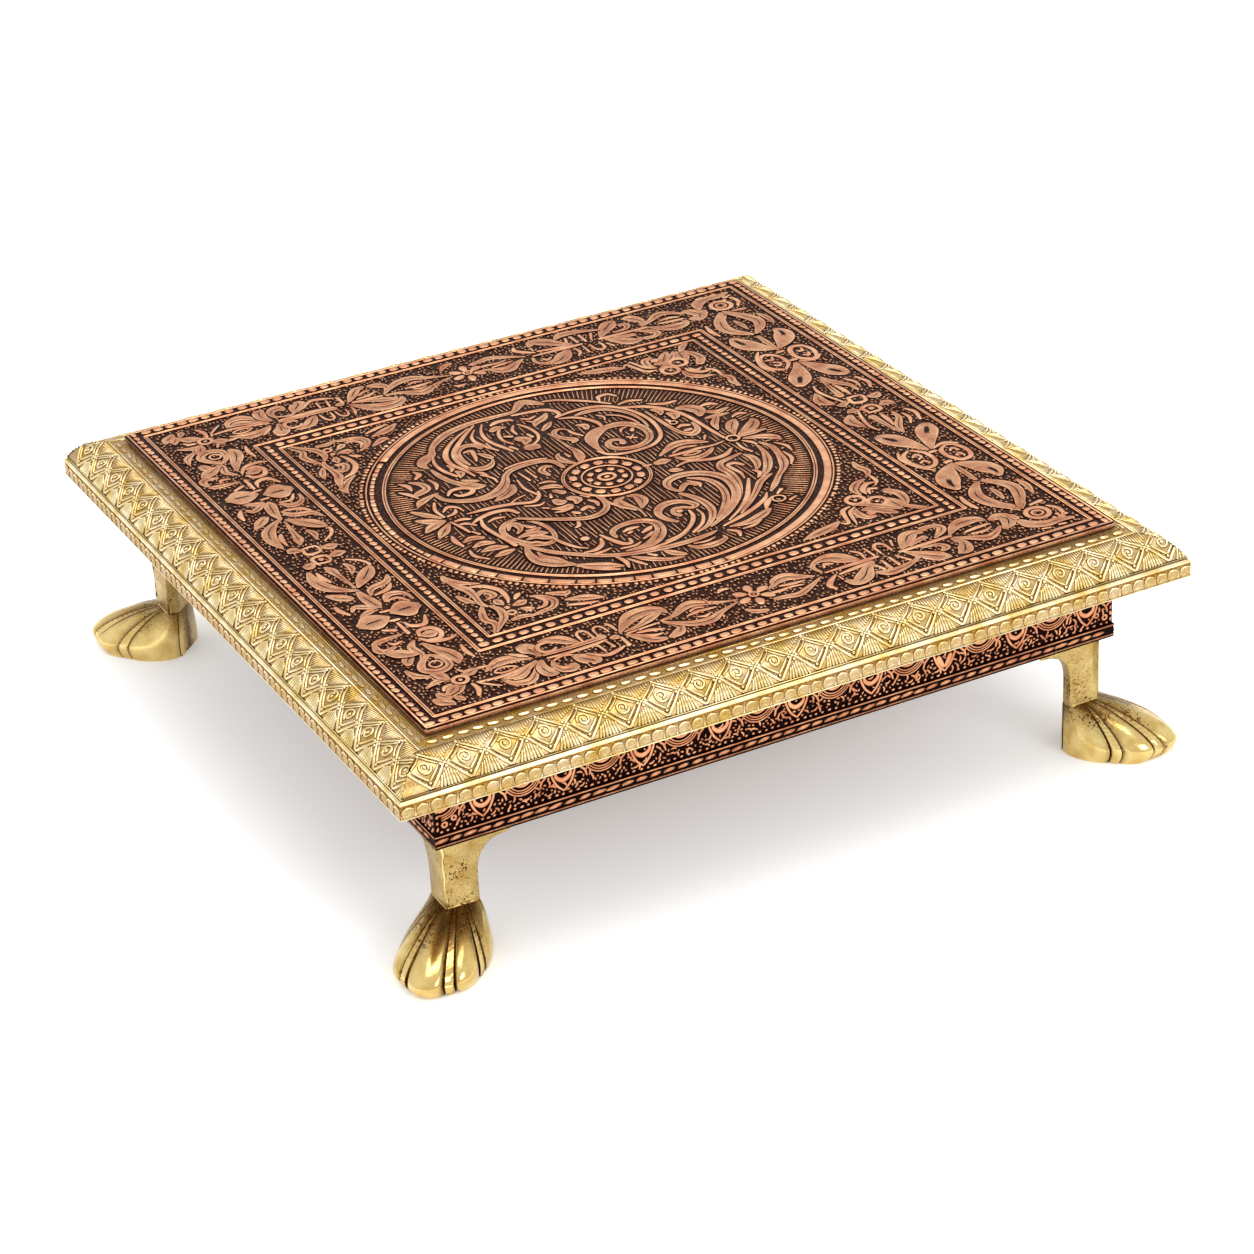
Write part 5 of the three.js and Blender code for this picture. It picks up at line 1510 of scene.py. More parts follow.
def border_relief():
    """The plate's lines, beads and leaves, and the grains punched between them."""
    relief = new_relief(PLATE_RISE, LINE_MOAT)
    rng = random.Random(7)
    square_line(relief, *EDGE_LINE, FLAT_SECTION)
    for reach, half_width in SQUARE_LINES:
        square_line(relief, reach, half_width)
    for row in BEAD_ROWS:
        bead_row(relief, *row, rng)
    relief["moat"] = LEAF_MOAT
    relief["layer"] = 0
    for flip in (False, True):
        for shape in FRONT_LEAVES + LEFT_LEAVES + RIGHT_LEAVES + LEFT_SPANDREL + RIGHT_SPANDREL:
            leaf(relief, shape, flip)
        for shape in LEFT_PETALS + BROAD_PETALS:
            stroke(relief, drawn(shape, flip), PETAL_SECTION)
        for shape in LOBES:
            stroke(relief, drawn(shape, flip), LOBE_SECTION, opening=(0.55, 0.9))
        relief["layer"] = 2
        eyes(relief, -1 if flip else 1)
    bead(relief, (-112.9, -4.4), 1.2, 1.2)
    bead(relief, (113, -5.2), 1.3, 1.3)
    punched = new_relief(PLATE_RISE, FINE_MOAT)
    punched["spines"] = relief["spines"] + [np.array([[0, 0, MEDALLION_REACH]])]
    for low, high in GRAIN_FIELDS:
        grain(punched, low, high, rng)
    return relief, punched


# Medallion: the round field in the middle of the plate, struck into the same sheet. Rings, a band and
# pearls frame it, leaves and scrolls turn round a rosette, and its bare ground is finely hatched.
OUTER_RING = (85.2, 0.36)  # radius and half width
THIN_RING = (78.7, 0.85)
BAND_RADIUS = 83.1
BAND_WIDTH = 1.55
WHOLE_BAND = (-1.5, 2.4)  # from one angle to the next
BROKEN_START = 2.42
SMALL_UNTIL = 3.4
BROKEN_UNTIL = 4.74
BROKEN_END = 4.78
PEARLS = 210
PEARL_RADIUS = 87.0
ROSETTE = (2.2, -1.6)
SPOKES = 262
RIM_RADIUS = 76.9
HATCH_RADIUS = 66
HATCH_LINES = 35  # each side of the middle
HATCH_APART = 1.85
HATCH_STEP = 0.55
HATCH_GAP = 0.85
MEDALLION_STROKES = [
    # bud above the rosette and heart below it
    [(-2, 15), (-4.5, 19, 1.2), (-5, 23.5, .9), (-3.5, 26, .4)],
    [(0, 15), (2, 19, 1.4), (3, 24, 1.2), (2.3, 29, .6), (1.8, 37), (1.2, 44, .4)],
    [(-1.6, 25, .4), (-1.2, 21.6, .7)],
    [(-.6, -20), (-3.8, -21.4, 1.2), (-4, -26, 1.6), (-1, -31.4, .6), (-1.3, -38, .4)],
    [(.6, -20), (3.4, -21.4, 1.2), (3.6, -26, 1.6), (.8, -31, .6)],
    [(-7.2, -16), (-7.5, -20, .7), (-5.6, -26, .6), (-2, -32, .4)],
    # upper right spiral and the lines round it
    [(11, 17.5), (10.9, 24, 1.1), (12.6, 30.4, 1.7), (17, 34.6, 1.8), (22, 36.4, 1.3), (28, 36, 1.4),
     (32.4, 31.5, 1.3), (33.4, 25, 1.2), (31, 18.8, 1.1), (25.5, 15.4, 1.1), (19.5, 15.9, 1.1),
     (15.6, 19, 1.1), (15.7, 23.1, 1), (18.6, 25.1, .9), (21.3, 23.4, .8), (20.8, 20.6, 1.1)],
    [(9.3, 19.5), (11.6, 14.8, .8), (17, 12.2, .8), (24, 11.9, .8), (30, 13.2, .8), (35, 17.6, .8),
     (37.6, 24, .8), (38.8, 32, .8), (38, 40, .8), (35.5, 47, .8), (31, 52.6, .9), (25, 55.6, 1),
     (17, 56, .8), (10, 54.5)],
    [(35.4, 28, .4), (36.2, 34, .6), (35.4, 41, .7), (32.4, 47, .8), (27.6, 51.4, .9), (22, 52.7, 1.1),
     (17, 52)],
    [(27, 46, .4), (31, 42.5, .6), (33.3, 37, .6), (34, 32.6, .4)],
    [(10.6, 53), (15.5, 51, .8), (19, 47, .9), (21, 42, .9), (21, 38, .6)],
    [(24, 48, .4), (25.6, 45.4, .6), (24.8, 42.6, .4)],
    [(24.6, 29.6, .4), (26, 31.8, .7), (28.4, 32.4, .4)], [(24.4, 24.6), (27.4, 22)],
    [(27.4, 24.8, .4), (24.6, 22, .4)], [(28.8, 28.6, .9), (30, 30.4, .6)],
    # leaf scrolls at the top
    [(-3, 66, .6), (4, 65, .9), (9, 64, 1), (12.3, 61, 1), (12.8, 57, .8), (10.6, 55.6)],
    [(9, 60.4), (6, 57.2, 1.3), (2.4, 55.4, 1.3), (.2, 52.6)],
    [(7, 52.4, .4), (4.4, 50.2, 1.1), (1, 47.4, .7)],
    [(8.6, 42.6, .4), (6.6, 44.6, .7), (3.8, 43.6, .9), (2.6, 40.4, .9), (4.2, 36.6, 1), (7, 33, 1.2),
     (5.2, 31.2)],
    [(8.8, 42.6), (9.4, 38.6, .8), (11.4, 34.8, .4)], [(13.4, 44.4), (16, 42.4, 1.2), (15.4, 39.6, .9)],
    [(-4.6, 57.6, .6), (-2.6, 52.4, .7), (-2.2, 46, .7), (-4, 41.4, .6), (-7.4, 38.4, .6)],
    [(-6.4, 57.6), (-8.6, 54, .7), (-8.8, 50)],
    [(-11.6, 58.6, .6), (-14.4, 54, .7), (-15.6, 48, .7), (-13.8, 43, .6)],
    [(-10.6, 46.4, 1.2), (-8.2, 43.6, 1.6), (-9.8, 40.6, .8)],
    [(-10.8, 36.6, 1.6), (-8.2, 36, 1.7), (-7.2, 34.4, .8)],
    [(-13.6, 62.4, .6), (-10.4, 63.8, 1), (-6, 63.4, .9), (-4.6, 61.6)],
    [(-15.6, 57.4, 1), (-13, 58.8, 1.2), (-9.8, 57.4, .6)], [(-13.8, 50.4, .6), (-11.4, 48.8, .8)],
    [(-14.4, 37.6), (-15.8, 41.4, .8)], [(-5.6, 47.4, .6), (-5, 44.2, .7)],
    [(4.4, 60.6), (1.2, 59.6, .8), (-1.4, 61.4)], [(-.6, 58, .4), (1, 56, .6)],
    # acanthus that runs down the upper left
    [(-19, 66), (-25, 60.6, .8), (-31, 54.4, .9), (-36, 48, .9), (-37.8, 41, .9), (-37, 34, .9),
     (-34.6, 27, .9), (-33.8, 22)],
    [(-22, 64.6, .4), (-29, 59.8, .6), (-35, 54.4, .8), (-39.6, 47.6, 1), (-41, 40, .9), (-39, 32.6, .8),
     (-38, 26)],
    [(-16, 65, .4), (-18.8, 60, .6), (-20.3, 54, .8), (-19.9, 48, .8), (-18, 42, .8), (-16.7, 37.5)],
    [(-20.4, 62.4, .4), (-24, 57.4, .6), (-24.9, 52.6, .8), (-23.6, 47.6, .9), (-22.2, 42.6)],
    [(-22, 49, .4), (-22.3, 44, .6), (-21, 40.6)],
    [(-35.4, 35.4), (-35.9, 42, .9), (-34.4, 48, 1), (-30.4, 51, 1.1), (-26.6, 49.8, 1.1),
     (-25.6, 46.2, .8)],
    [(-32.6, 46.6), (-29.6, 46.4, .9), (-30.4, 41.6, .8), (-31.6, 37.6)],
    [(-28.6, 42.4), (-27, 39.4, 1.1), (-25.9, 36.4, .9)],
    [(-36.6, 33.4), (-34.4, 30.4, 1.3), (-30.6, 29.9, 1.3), (-27.6, 32.2, .8), (-26.3, 35, .4)],
    [(-49.6, 41.6, .6), (-50.2, 45.6, 1.3), (-47, 49.2, 1.6), (-43.2, 51.8, 1.2), (-40.8, 56.6, .9),
     (-36, 61.6, 1.2), (-30, 65.5, 1.3), (-20, 68.4, 1.2), (-10, 68.6, 1.1), (-1.4, 68.6, .9),
     (2.6, 71.8, 1.3), (5.6, 74.4, 1.5), (9.2, 71.8, 1.3), (11.6, 68.4, .8)],
    [(12.6, 70.4, .6), (17.6, 68.6, .8), (24.4, 63.4, .8), (29.6, 58.4, .7), (33.4, 54)],
    [(-49.2, 40), (-48.7, 33, 1), (-47.2, 27, 1), (-44.2, 21.4, 1.3), (-41, 18, 1.6), (-38.4, 16.9, .8)],
    [(-44, 49.4, .4), (-46, 43, .7), (-45.8, 36, .8), (-43.6, 29.4, .7)],
    [(-42.6, 40), (-41.9, 37, .9), (-43.4, 34.6)], [(-42, 34), (-41.2, 31, 1.2), (-42.6, 28.4, .6)],
    [(-43.6, 25.2, .6), (-41, 22.6, 1.1), (-38.6, 21.6, .6)],
    [(-36, 25.4, .4), (-33.2, 20.6, .6), (-33.4, 16.6, .4)],
    # leaves at the left edge
    [(-65, 22.6), (-61, 24.4, 1.3), (-57.2, 26.4, 1.2), (-57.6, 31, 1.1), (-60.6, 34.6, .6)],
    [(-66.4, 14.4), (-63.6, 17.4, 1.3), (-59, 19.6, .9), (-55.6, 20.6)],
    [(-62.6, 28.2), (-62.4, 32, 1), (-64.4, 35.6)], [(-57.4, 36, .6), (-54.6, 38.6, 1), (-55.4, 42)],
    [(-63.4, 20.4, .4), (-65, 25, .9), (-67.4, 28.6)], [(-53.6, 33), (-52.8, 28, .8), (-54.4, 24)],
    [(-63.2, -1.2, .6), (-68, 1.2, 1.4), (-72, 4.4, .7)],
    [(-63.4, -1.8, .6), (-69, -3.4, 1.5), (-72.8, -6.2, .6)],
    [(-62.6, -3.6), (-67, -8.6, 1.5), (-70.4, -12.2, .7)],
    [(-63.2, 1.6), (-66.8, 6.6, 1.2), (-70.4, 12, .6)], [(-62.2, 1.4), (-62.6, 8, .7), (-60.2, 14)],
    [(-62, -3.4), (-60.6, -9, .7), (-59.8, -14.4)],
    [(-60.6, 5.6, .4), (-57.4, 8.4, .9), (-54.6, 6.2, .6), (-54, 2.4, .4)],
    [(-60.8, 1.6), (-57.4, 2.6, .8), (-55.8, 5.4, .4)], [(-60.4, -3.4), (-57.2, -3.4, .9), (-54.6, -4.8)],
    [(-60, -6.6, .4), (-57.6, -7.4, .8), (-55.2, -10.6, .4)],
    # scroll on the left of the rosette
    [(-57, 19, .8), (-56, 14.2, .9), (-52, 10.2, 1.1), (-46, 7.7, 1.3), (-40, 8, 1.5), (-35, 10.5, 1.6),
     (-31, 15, 1.3), (-28.4, 19.8, 1), (-24, 23, 1), (-17, 24, 1), (-11, 23, 1), (-8.2, 20, 1),
     (-7.4, 14.4, .8)],
    [(-26, 25.4), (-20, 26.7, .6), (-13, 26.2, .6), (-9, 24.8, .4)],
    [(-41, 3, .4), (-37.6, 4.6, 1.3), (-33, 7.6, 1.8), (-30, 11.6, 1)],
    [(-53.4, 16.6), (-50.6, 19.6, .9), (-46.2, 19.4, 1), (-43.6, 16.4, .9), (-45.8, 13.8, 1),
     (-49.8, 14, .8), (-51, 16.2)],
    [(-10.6, 17.6, .6), (-13, 18.7, 1), (-15.5, 16.2, 1.1), (-14.7, 11.6, .7)],
    [(-23.4, 19.6, .4), (-22.6, 11.6, .6)], [(-20, 20.6, .4), (-19.6, 12.6, .6)],
    [(-26.4, 14.6, .4), (-27.4, 6.6, .6), (-25.6, -.6, .6)],
    [(-54, -.8), (-48, -1, .9), (-42, -1.5, 1), (-36, -3, .9), (-30, -5.2, .9), (-26.2, -2.6, .8),
     (-24.4, 1.6)],
    [(-37.6, -2, .4), (-33.4, .6), (-29.6, 1.6, .4)], [(-34, -6.4, .4), (-29, -8.6, .6), (-26.4, -7.4, .4)],
    [(-56, -9, .4), (-52, -6.6, .9), (-46, -5, 1), (-40.4, -6.2, 1), (-38.4, -10.4, .7)],
    [(-50.6, -10.6, .4), (-47, -9.4, .8), (-43.6, -10.4, .4)],
    # oval scroll and small flower at the lower left
    [(-41, -14.2, .8), (-46, -15.4, .9), (-49.4, -19.4, 1), (-50, -25, 1), (-48, -31, 1.1),
     (-44, -35.8, 1.1), (-39.6, -37.6, 1), (-36.2, -35, .8), (-34.7, -29, .8), (-35.6, -22.4, .8),
     (-38.4, -17.6, .6)],
    [(-47.6, -21), (-45.6, -17.8, .9), (-43.2, -18.6, 1.3), (-43.6, -22.4, .9), (-46, -25)],
    [(-41.4, -19.4, .4), (-40.2, -22, .9), (-38.2, -23.4)],
    [(-42.6, -24.6), (-40, -25.6, 1.2), (-37.2, -25, .7)],
    [(-47.2, -28.2), (-43.4, -27.6, 1.2), (-39.6, -28.8, 1.4), (-36.8, -30.4)],
    [(-45.4, -31.4), (-42, -31, 1.1), (-39.4, -33.2, 1.2), (-37.8, -35.4)],
    [(-46.2, -34, .4), (-43.6, -34.6, .8), (-41.4, -36.4, .4)],
    [(-41, -14.2, .6), (-37, -17.2, .8), (-33, -20.3, .8), (-27, -24.2, 1), (-20, -27.9, 1.1),
     (-14, -27.5, 1.1), (-9.7, -24, 1), (-8.2, -18.6, .9), (-8.7, -13.4, .6)],
    [(-52, -7.6), (-53.6, -13.4, .8), (-53, -20, .8), (-51.7, -27, .8), (-50.8, -33, .9)],
    [(-22.6, -8, 1), (-22, -10.8, 1.5), (-19.6, -11, .8)],
    [(-17.6, -9.6, 1.2), (-15.6, -12.4, 1.4), (-17.2, -14.8, .8)],
    [(-26.8, -14), (-23.4, -15.4, 1.1), (-19.6, -15.2, 1.2)],
    [(-27.2, -17.4, .4), (-24, -18, .8), (-20, -17.4)],
    [(-18, -20.6, .8), (-15, -19.6, 1), (-13.8, -22, .6)],
    [(-12.4, -14.8, .6), (-10.8, -17.8, .9), (-11.4, -20.6)], [(-21.6, -20.6, .9), (-19.8, -22.4, .7)],
    [(-29.4, -11.6), (-27.4, -13, .6)], [(-23, -26.6), (-24.6, -31, .8), (-26.6, -32, .4)],
    [(-13, -9.6), (-11, -12.4, .8)], [(-19.4, -1, .9), (-17, -4.4, 1.1)],
    [(-22.4, 3.4, .8), (-17.8, 2.6, 1.2), (-15.6, 0, .8)], [(-21, 7.4, .4), (-17.4, 7, .7), (-15.4, 5, .4)],
    [(-21.6, -2.6, .4), (-22.6, -5.4, .7)],
    # layered leaves at the lower left edge
    [(-65, -20.4), (-61, -19, 1.3), (-57.4, -20.8, .8)],
    [(-63.8, -25.8), (-59.6, -24.6, 1.3), (-56, -26.4, .7)],
    [(-63, -30.6, .4), (-58, -30, 1.4), (-53.4, -32, .6)],
    [(-60.4, -36.6), (-56.2, -35.6, 1.3), (-52.4, -35, .6)],
    [(-66.4, -13.6), (-67.2, -18, 1), (-66.4, -23)], [(-59, -14.8), (-57.6, -18, .7)],
    [(-66, -27, .4), (-66.4, -32, .8), (-63, -37, .4)],
    # long stem and acanthus along the bottom
    [(-49, -33, .7), (-46, -39, .9), (-42, -45, 1), (-37, -50, 1), (-31, -55.2, 1), (-25, -59, 1),
     (-17, -61.9, 1), (-8, -63.6, 1.1), (2, -64, 1.1), (10, -63.2, .9), (14, -62, .4)],
    [(-47.6, -34.6), (-50, -42, 1.1), (-49.5, -48.6, 1.5), (-46, -53, 1.6), (-42.2, -56, 1.2), (-40, -58)],
    [(-46.6, -41.6, .4), (-46.4, -46, .9), (-43.4, -50.4, 1.1), (-41.4, -54.4)],
    [(-37.4, -33.4, .4), (-36, -40, .8), (-33.4, -46, .7), (-30.4, -49, .4)],
    [(-33, -51, .4), (-28.6, -51.3, .9), (-24.8, -48.8, .9), (-23, -44.4)],
    [(-31, -53.6, .4), (-27.4, -53.9, .7), (-23.4, -53.2, .4)],
    [(-18, -46.6, .7), (-17.6, -43, .9), (-14.4, -40.2, 1), (-9, -39.2, 1.1), (-4, -40.5, 1.2),
     (-1.2, -44, 1.3), (-1.6, -49, 1.4), (-4.5, -53.5, 1.6), (-9, -57.2, 1.5), (-14, -58.4, 1),
     (-20, -58.2)],
    [(-22, -42), (-20.6, -47, .9), (-18.6, -52, 1), (-15.6, -53.4, .8), (-14.6, -50, .6)],
    [(-14, -44.4), (-11, -43.4, .9), (-7.6, -43.8, .6)], [(-13, -46.4, .6), (-11.4, -45.8, .7)],
    [(-8.6, -48.6), (-5.4, -47.2, 1), (-3.6, -46)], [(-10.8, -53.4, .4), (-7.4, -51.8, .8), (-5.4, -50.2)],
    [(-21, -55.4, .4), (-15.4, -56, .7), (-12.4, -54.6, .4)],
    [(-28, -57.2, .4), (-21, -60, .6), (-12, -60.9, .7), (-3, -60, .7), (5, -56.4, .8), (10.4, -50.6, .8),
     (13.2, -45, .6)],
    [(-41, -57.4), (-37, -60.2, 1.2), (-31, -64, 1.5), (-26.4, -67.6, .6)],
    [(-39, -61.2, .4), (-34, -65.6, .9), (-28.6, -69.4)],
    [(-25.4, -60.6, .6), (-24.4, -65.6, .9), (-25.4, -70)],
    [(-20.6, -63), (-17, -67.2, 1.1), (-11.4, -71.6, 1), (-5.4, -73.2)],
    [(-22.6, -63.6, .4), (-20.6, -68, .8), (-19, -71.4, .4)],
    [(-9, -65), (-7, -68.4, 1.3), (-4, -71.8, .8)],
    [(0, -66.4), (2, -69.4, 1), (8, -70.6, 1.3), (13.6, -69, .8), (14, -66.4, .4)],
    [(-15, -63.9), (-13, -66.8, .8)], [(17.4, -63.4, .4), (20, -66.6, .9), (19, -70)],
    [(2.4, -66.2, .4), (7, -67, .6), (11, -66, .4)],
    # acanthus sweep at the lower right
    [(8, -59), (13, -56.8, .8), (17.8, -52, 1), (20.9, -46, 1.2), (21.4, -39, 1.2), (19.9, -33, 1.1),
     (17.5, -28.4, .7)],
    [(26, -26, .7), (24, -23.2, .9), (21.2, -24.5, 1), (19, -27, .8), (17.1, -25, .8), (16.7, -21, 1.1),
     (19, -17.3, 1.3), (24, -15.7, 1.4), (30, -17, 1.4), (35, -21.2, 1.4), (37.4, -27, 1.4),
     (36.9, -34, 1.4), (34, -41, 1.3), (29, -47.2, 1.2), (22, -53.2, 1), (14, -58.2)],
    [(26, -19), (30, -22.2, .9), (32.4, -27, 1.1), (32.3, -34, 1.1), (29.8, -41, 1.1), (25.3, -47.2, 1),
     (19, -53.6)],
    [(25, -20.8, .4), (27.4, -25, .8), (26.6, -27.6)],
    [(6, -48, .7), (3.6, -44, 1), (3.1, -39, 1.1), (6, -34.7, 1.3), (11, -33.1, 1.3), (15.4, -35, 1.1),
     (18, -39.4, 1.1), (15.8, -41, .8), (13, -39, .7), (9.6, -38.5, .8), (8, -41.4, .8), (9.2, -44.2, .9)],
    [(13.6, -42.6), (12.6, -47.4, .8), (8.6, -53, .8), (2.4, -57.6, .7), (-5, -59.4, .4)],
    [(16.4, -43, .4), (16.2, -48, .6), (12.6, -54, .7), (6.6, -58.4, .6)],
    [(18, -60), (26, -57.2, .9), (34, -53.7, .9), (41, -49.2, .8), (44, -45.4, .4)],
    [(28, -55, .4), (35, -49, .8), (42, -41.7, 1), (47, -36.2, 1.1), (53, -33.2, .6)],
    [(22, -57, .4), (29.6, -51.4, .7), (36.4, -44.4, .9), (41, -37.4, .8), (44.4, -31.6, .6)],
    [(61, -8, .4), (60.5, -15, .9), (58, -22, 1.3), (54, -28.6, 1.2), (49, -33, .7)],
    [(52.6, -11.6, .6), (47, -13, .9), (42.6, -14.4, 1), (40.5, -18.2, 1.2), (41, -24, 1.2), (40, -31, 1.1),
     (37, -38.6, .8), (33, -45, .4)],
    [(48.6, -20.6, .7), (46.6, -17.4, .9), (43.6, -17.8, .8), (43.8, -21.6, .8), (44.4, -26, .7),
     (43.4, -30.4, .4)],
    [(53, -13), (54.4, -17.4, 1.2), (53.2, -23, 1.1), (50.4, -27)],
    [(49, -26.6, .4), (50.2, -29.8, .9), (47.6, -33, .4)],
    [(63, -7), (65, -13, 1), (64, -20, 1.1), (62, -26.6, 1.4), (59.4, -31, 1.1), (55, -35.4, .9),
     (50, -41, 1), (46, -45)],
    [(66.4, -19, .4), (66.4, -25, .8), (63.6, -29.6)], [(67.6, -10.6, .4), (70, -15, .8), (69.6, -20, .4)],
    [(44, -49.4, .4), (40, -52.8, 1), (37.4, -56.4, .6)], [(46.8, -48.2), (50, -45.6, .8)],
    [(48, -55, .6), (51.4, -53.6, .6)],
    [(19.6, -61.8), (27, -62.2, 1.3), (34, -59.8, 1.4), (38.4, -57.2, .7)],
    [(31.4, -63.4, .4), (27, -65.6, .8), (22.4, -66, .4)],
    # flower and leaves on the right
    [(59, 4), (60.6, 9, 1.5), (63.2, 13, 1.6), (65.4, 15.4, .6)],
    [(60.4, 3, .6), (66, 5.4, 1.7), (70, 9, 1.6), (71.2, 12.4, .6)],
    [(59.2, 1.4, .8), (65, 1.5, 1.1), (71, 1.4)],
    [(60, -1, .6), (66, -3, 1.3), (70, -6, 1.4), (71.2, -9.4)],
    [(58.4, -2.6), (60.6, -5.6, .8), (61.4, -8.4, .4)], [(56, -2.4, .4), (55.6, -8, .7), (57, -12.6)],
    [(54.4, 3.4, .6), (53.6, 10, .8), (53.1, 18, .8), (52.5, 26, .9), (51, 33, .9), (47.5, 39.6, 1),
     (43, 44.6, 1), (38, 47.5, .8), (34.6, 49.6, .4)],
    [(41, 40.6, .4), (41.5, 32, .7), (42, 24, .8), (43, 17, .9), (46.4, 13.2, 1.3), (50, 16, 1),
     (51, 22, .6)],
    [(43.4, 40.4, .6), (45.4, 37.4, 1.2), (44.4, 34.6, .6)],
    [(46.8, 34.4, .6), (48.4, 31, 1.5), (47, 28.6, .8)], [(43.8, 30.4, .4), (44.4, 28, .8)],
    [(44.2, 21), (46.6, 22, 1), (49.2, 20.6, .6)], [(45.4, 17.4, .8), (47.8, 17.2, .9)],
    [(51.8, 36, .8), (55.6, 34.4, 1.7), (58, 30, 1.9), (56.4, 25.6, 1)],
    [(59.6, 27.6, .8), (64, 25.2, 1.1), (69, 26.4)], [(57, 22.4, .6), (62, 22.2, 1.1), (66.4, 21.6)],
    [(55.8, 11), (57.2, 16, 1.2), (60.2, 20, 1), (62, 23.4, .4)],
    [(45, 46.4), (50, 43, 1), (55.4, 42.6, .6)], [(60.4, 33), (64.4, 33.4, 1), (67, 31)],
    [(66, 18), (69.4, 19.4, .9), (72, 17.8, .4)], [(35.4, 52, .4), (40, 52.8, .9), (45, 50.6)],
    [(31, 58.6, .4), (32.4, 62.4, .9), (36.4, 62.8, .8), (38.6, 59.4)],
    # lotus bud between the rosette and the flower
    [(27, 3.2), (31, 6, 1), (36, 8.6, 1.5), (41, 8.2, 1.4), (45, 5.6, 1), (47.4, 3.6, .4)],
    [(32, 2.6, .4), (37, 4.8, .8), (42.4, 3.4)], [(22.4, -1.8, 1), (25.8, -1.6, 1.5), (28.2, -2.2, .6)],
    [(29.6, 1, .6), (36, .6, .8), (42, 1, .8), (47, .2, .6), (52.6, 1)],
    [(30.8, -.9), (33, -4, 1), (38, -5.8, 1.2), (43, -4.4, 1), (46.4, -1.8, .6)],
    [(34, -1.6, .4), (37.6, -.8), (41.6, -1.8, .4), (37.8, -3), (34, -1.6, .4)],
    [(27.4, -8.4), (33, -7, .8), (38, -9, .9), (43, -10.4, 1), (48, -9.4, 1), (52, -6)],
    [(24, -10, .9), (26, -10.6, 1.2), (28, -12, .6)], [(47.4, 6.4, .4), (49.4, 9.4, .6)],
    [(17.4, -1.4), (20.4, -1.8, .6)],
]


def band_piece(relief, start, end, half_width):
    """A length of the band round the medallion, between two angles."""
    places = np.linspace(start, end, max(4, round((end - start) / 0.05)))
    arc = [(BAND_RADIUS * math.cos(a), BAND_RADIUS * math.sin(a), half_width, 1) for a in places]
    bar(relief, np.array(arc), False, FLAT_SECTION)


def medallion_frame(relief, rng):
    """The rings, the band, which is broken into short lengths on the left, and the pearls."""
    ring(relief, (0, 0), *OUTER_RING, steps=120)
    ring(relief, (0, 0), *THIN_RING, DOUBLE_SECTION, steps=120)
    band_piece(relief, *WHOLE_BAND, BAND_WIDTH)
    a = BROKEN_START
    while a < BROKEN_UNTIL:
        small = a < SMALL_UNTIL
        turn = min(rng.uniform(0.03, 0.06) if small else rng.uniform(0.07, 0.12), BROKEN_END - a)
        band_piece(relief, a + 0.003, a + turn - 0.007, rng.uniform(0.8, 1.15) if small else BAND_WIDTH)
        a += turn
    for i in range(PEARLS):
        a = 2 * math.pi * (i + rng.uniform(-0.2, 0.2)) / PEARLS
        at = (PEARL_RADIUS * math.cos(a), PEARL_RADIUS * math.sin(a))
        bead(relief, at, rng.uniform(0.7, 1.15), rng.uniform(0.8, 1.1), a, sides=6)


def rosette(relief):
    """The middle of the medallion: an eye, two rows of beads and the rings round them."""
    x, y = ROSETTE
    ring(relief, ROSETTE, 3.1, 0.8, steps=18, squash=0.85)
    bead(relief, ROSETTE, 1.3, 0.9, sides=8)
    for i in range(9):
        a = 2 * math.pi * i / 9 + 0.2
        bead(relief, (x + 6.6 * math.cos(a), y + 6.2 * math.sin(a)), 1.25, 1.55, a, round_off=0.7)
    ring(relief, ROSETTE, 9.3, 0.42, steps=30)
    for i in range(14):
        a = 2 * math.pi * i / 14
        bead(relief, (x + 12.4 * math.cos(a), y + 12.4 * math.sin(a)), 1.65, 2.1, a + 0.2, round_off=0.7)
    ring(relief, ROSETTE, 16.1, 0.75, DOUBLE_SECTION, steps=44)


def hatch_lines(rng):
    """The places along each hatching line: spokes inside the rim, and wavy lines on the ground."""
    lines = []
    for i in range(SPOKES):
        a = 2 * math.pi * i / SPOKES
        inner = 66.5 + 1.4 * math.sin(5 * a) + rng.uniform(-0.6, 0.6)
        radii = np.arange(inner, RIM_RADIUS, HATCH_STEP)
        lines.append(np.column_stack([radii * np.cos(a), radii * np.sin(a)]))
    for i in range(-HATCH_LINES, HATCH_LINES + 1):
        x = i * HATCH_APART
        reach = math.sqrt(HATCH_RADIUS ** 2 - x ** 2)
        y = np.arange(-reach + rng.uniform(0, 1), reach, HATCH_STEP)
        lines.append(np.column_stack([x + 0.3 * np.sin(y * 0.33 + i * 1.7) + rng.uniform(-0.15, 0.15), y]))
    return lines


def free_runs(relief, line):
    """The two ends of each stretch of a line that lies clear of the strokes."""
    free = free_places(relief, line, HATCH_GAP)
    runs = []
    start = None
    for k in range(len(line) + 1):
        inside = k < len(line) and free[k]
        if inside and start is None:
            start = k
        if not inside and start is not None:
            if k - start > 2:
                runs.append((line[start], line[k - 1]))
            start = None
    return runs


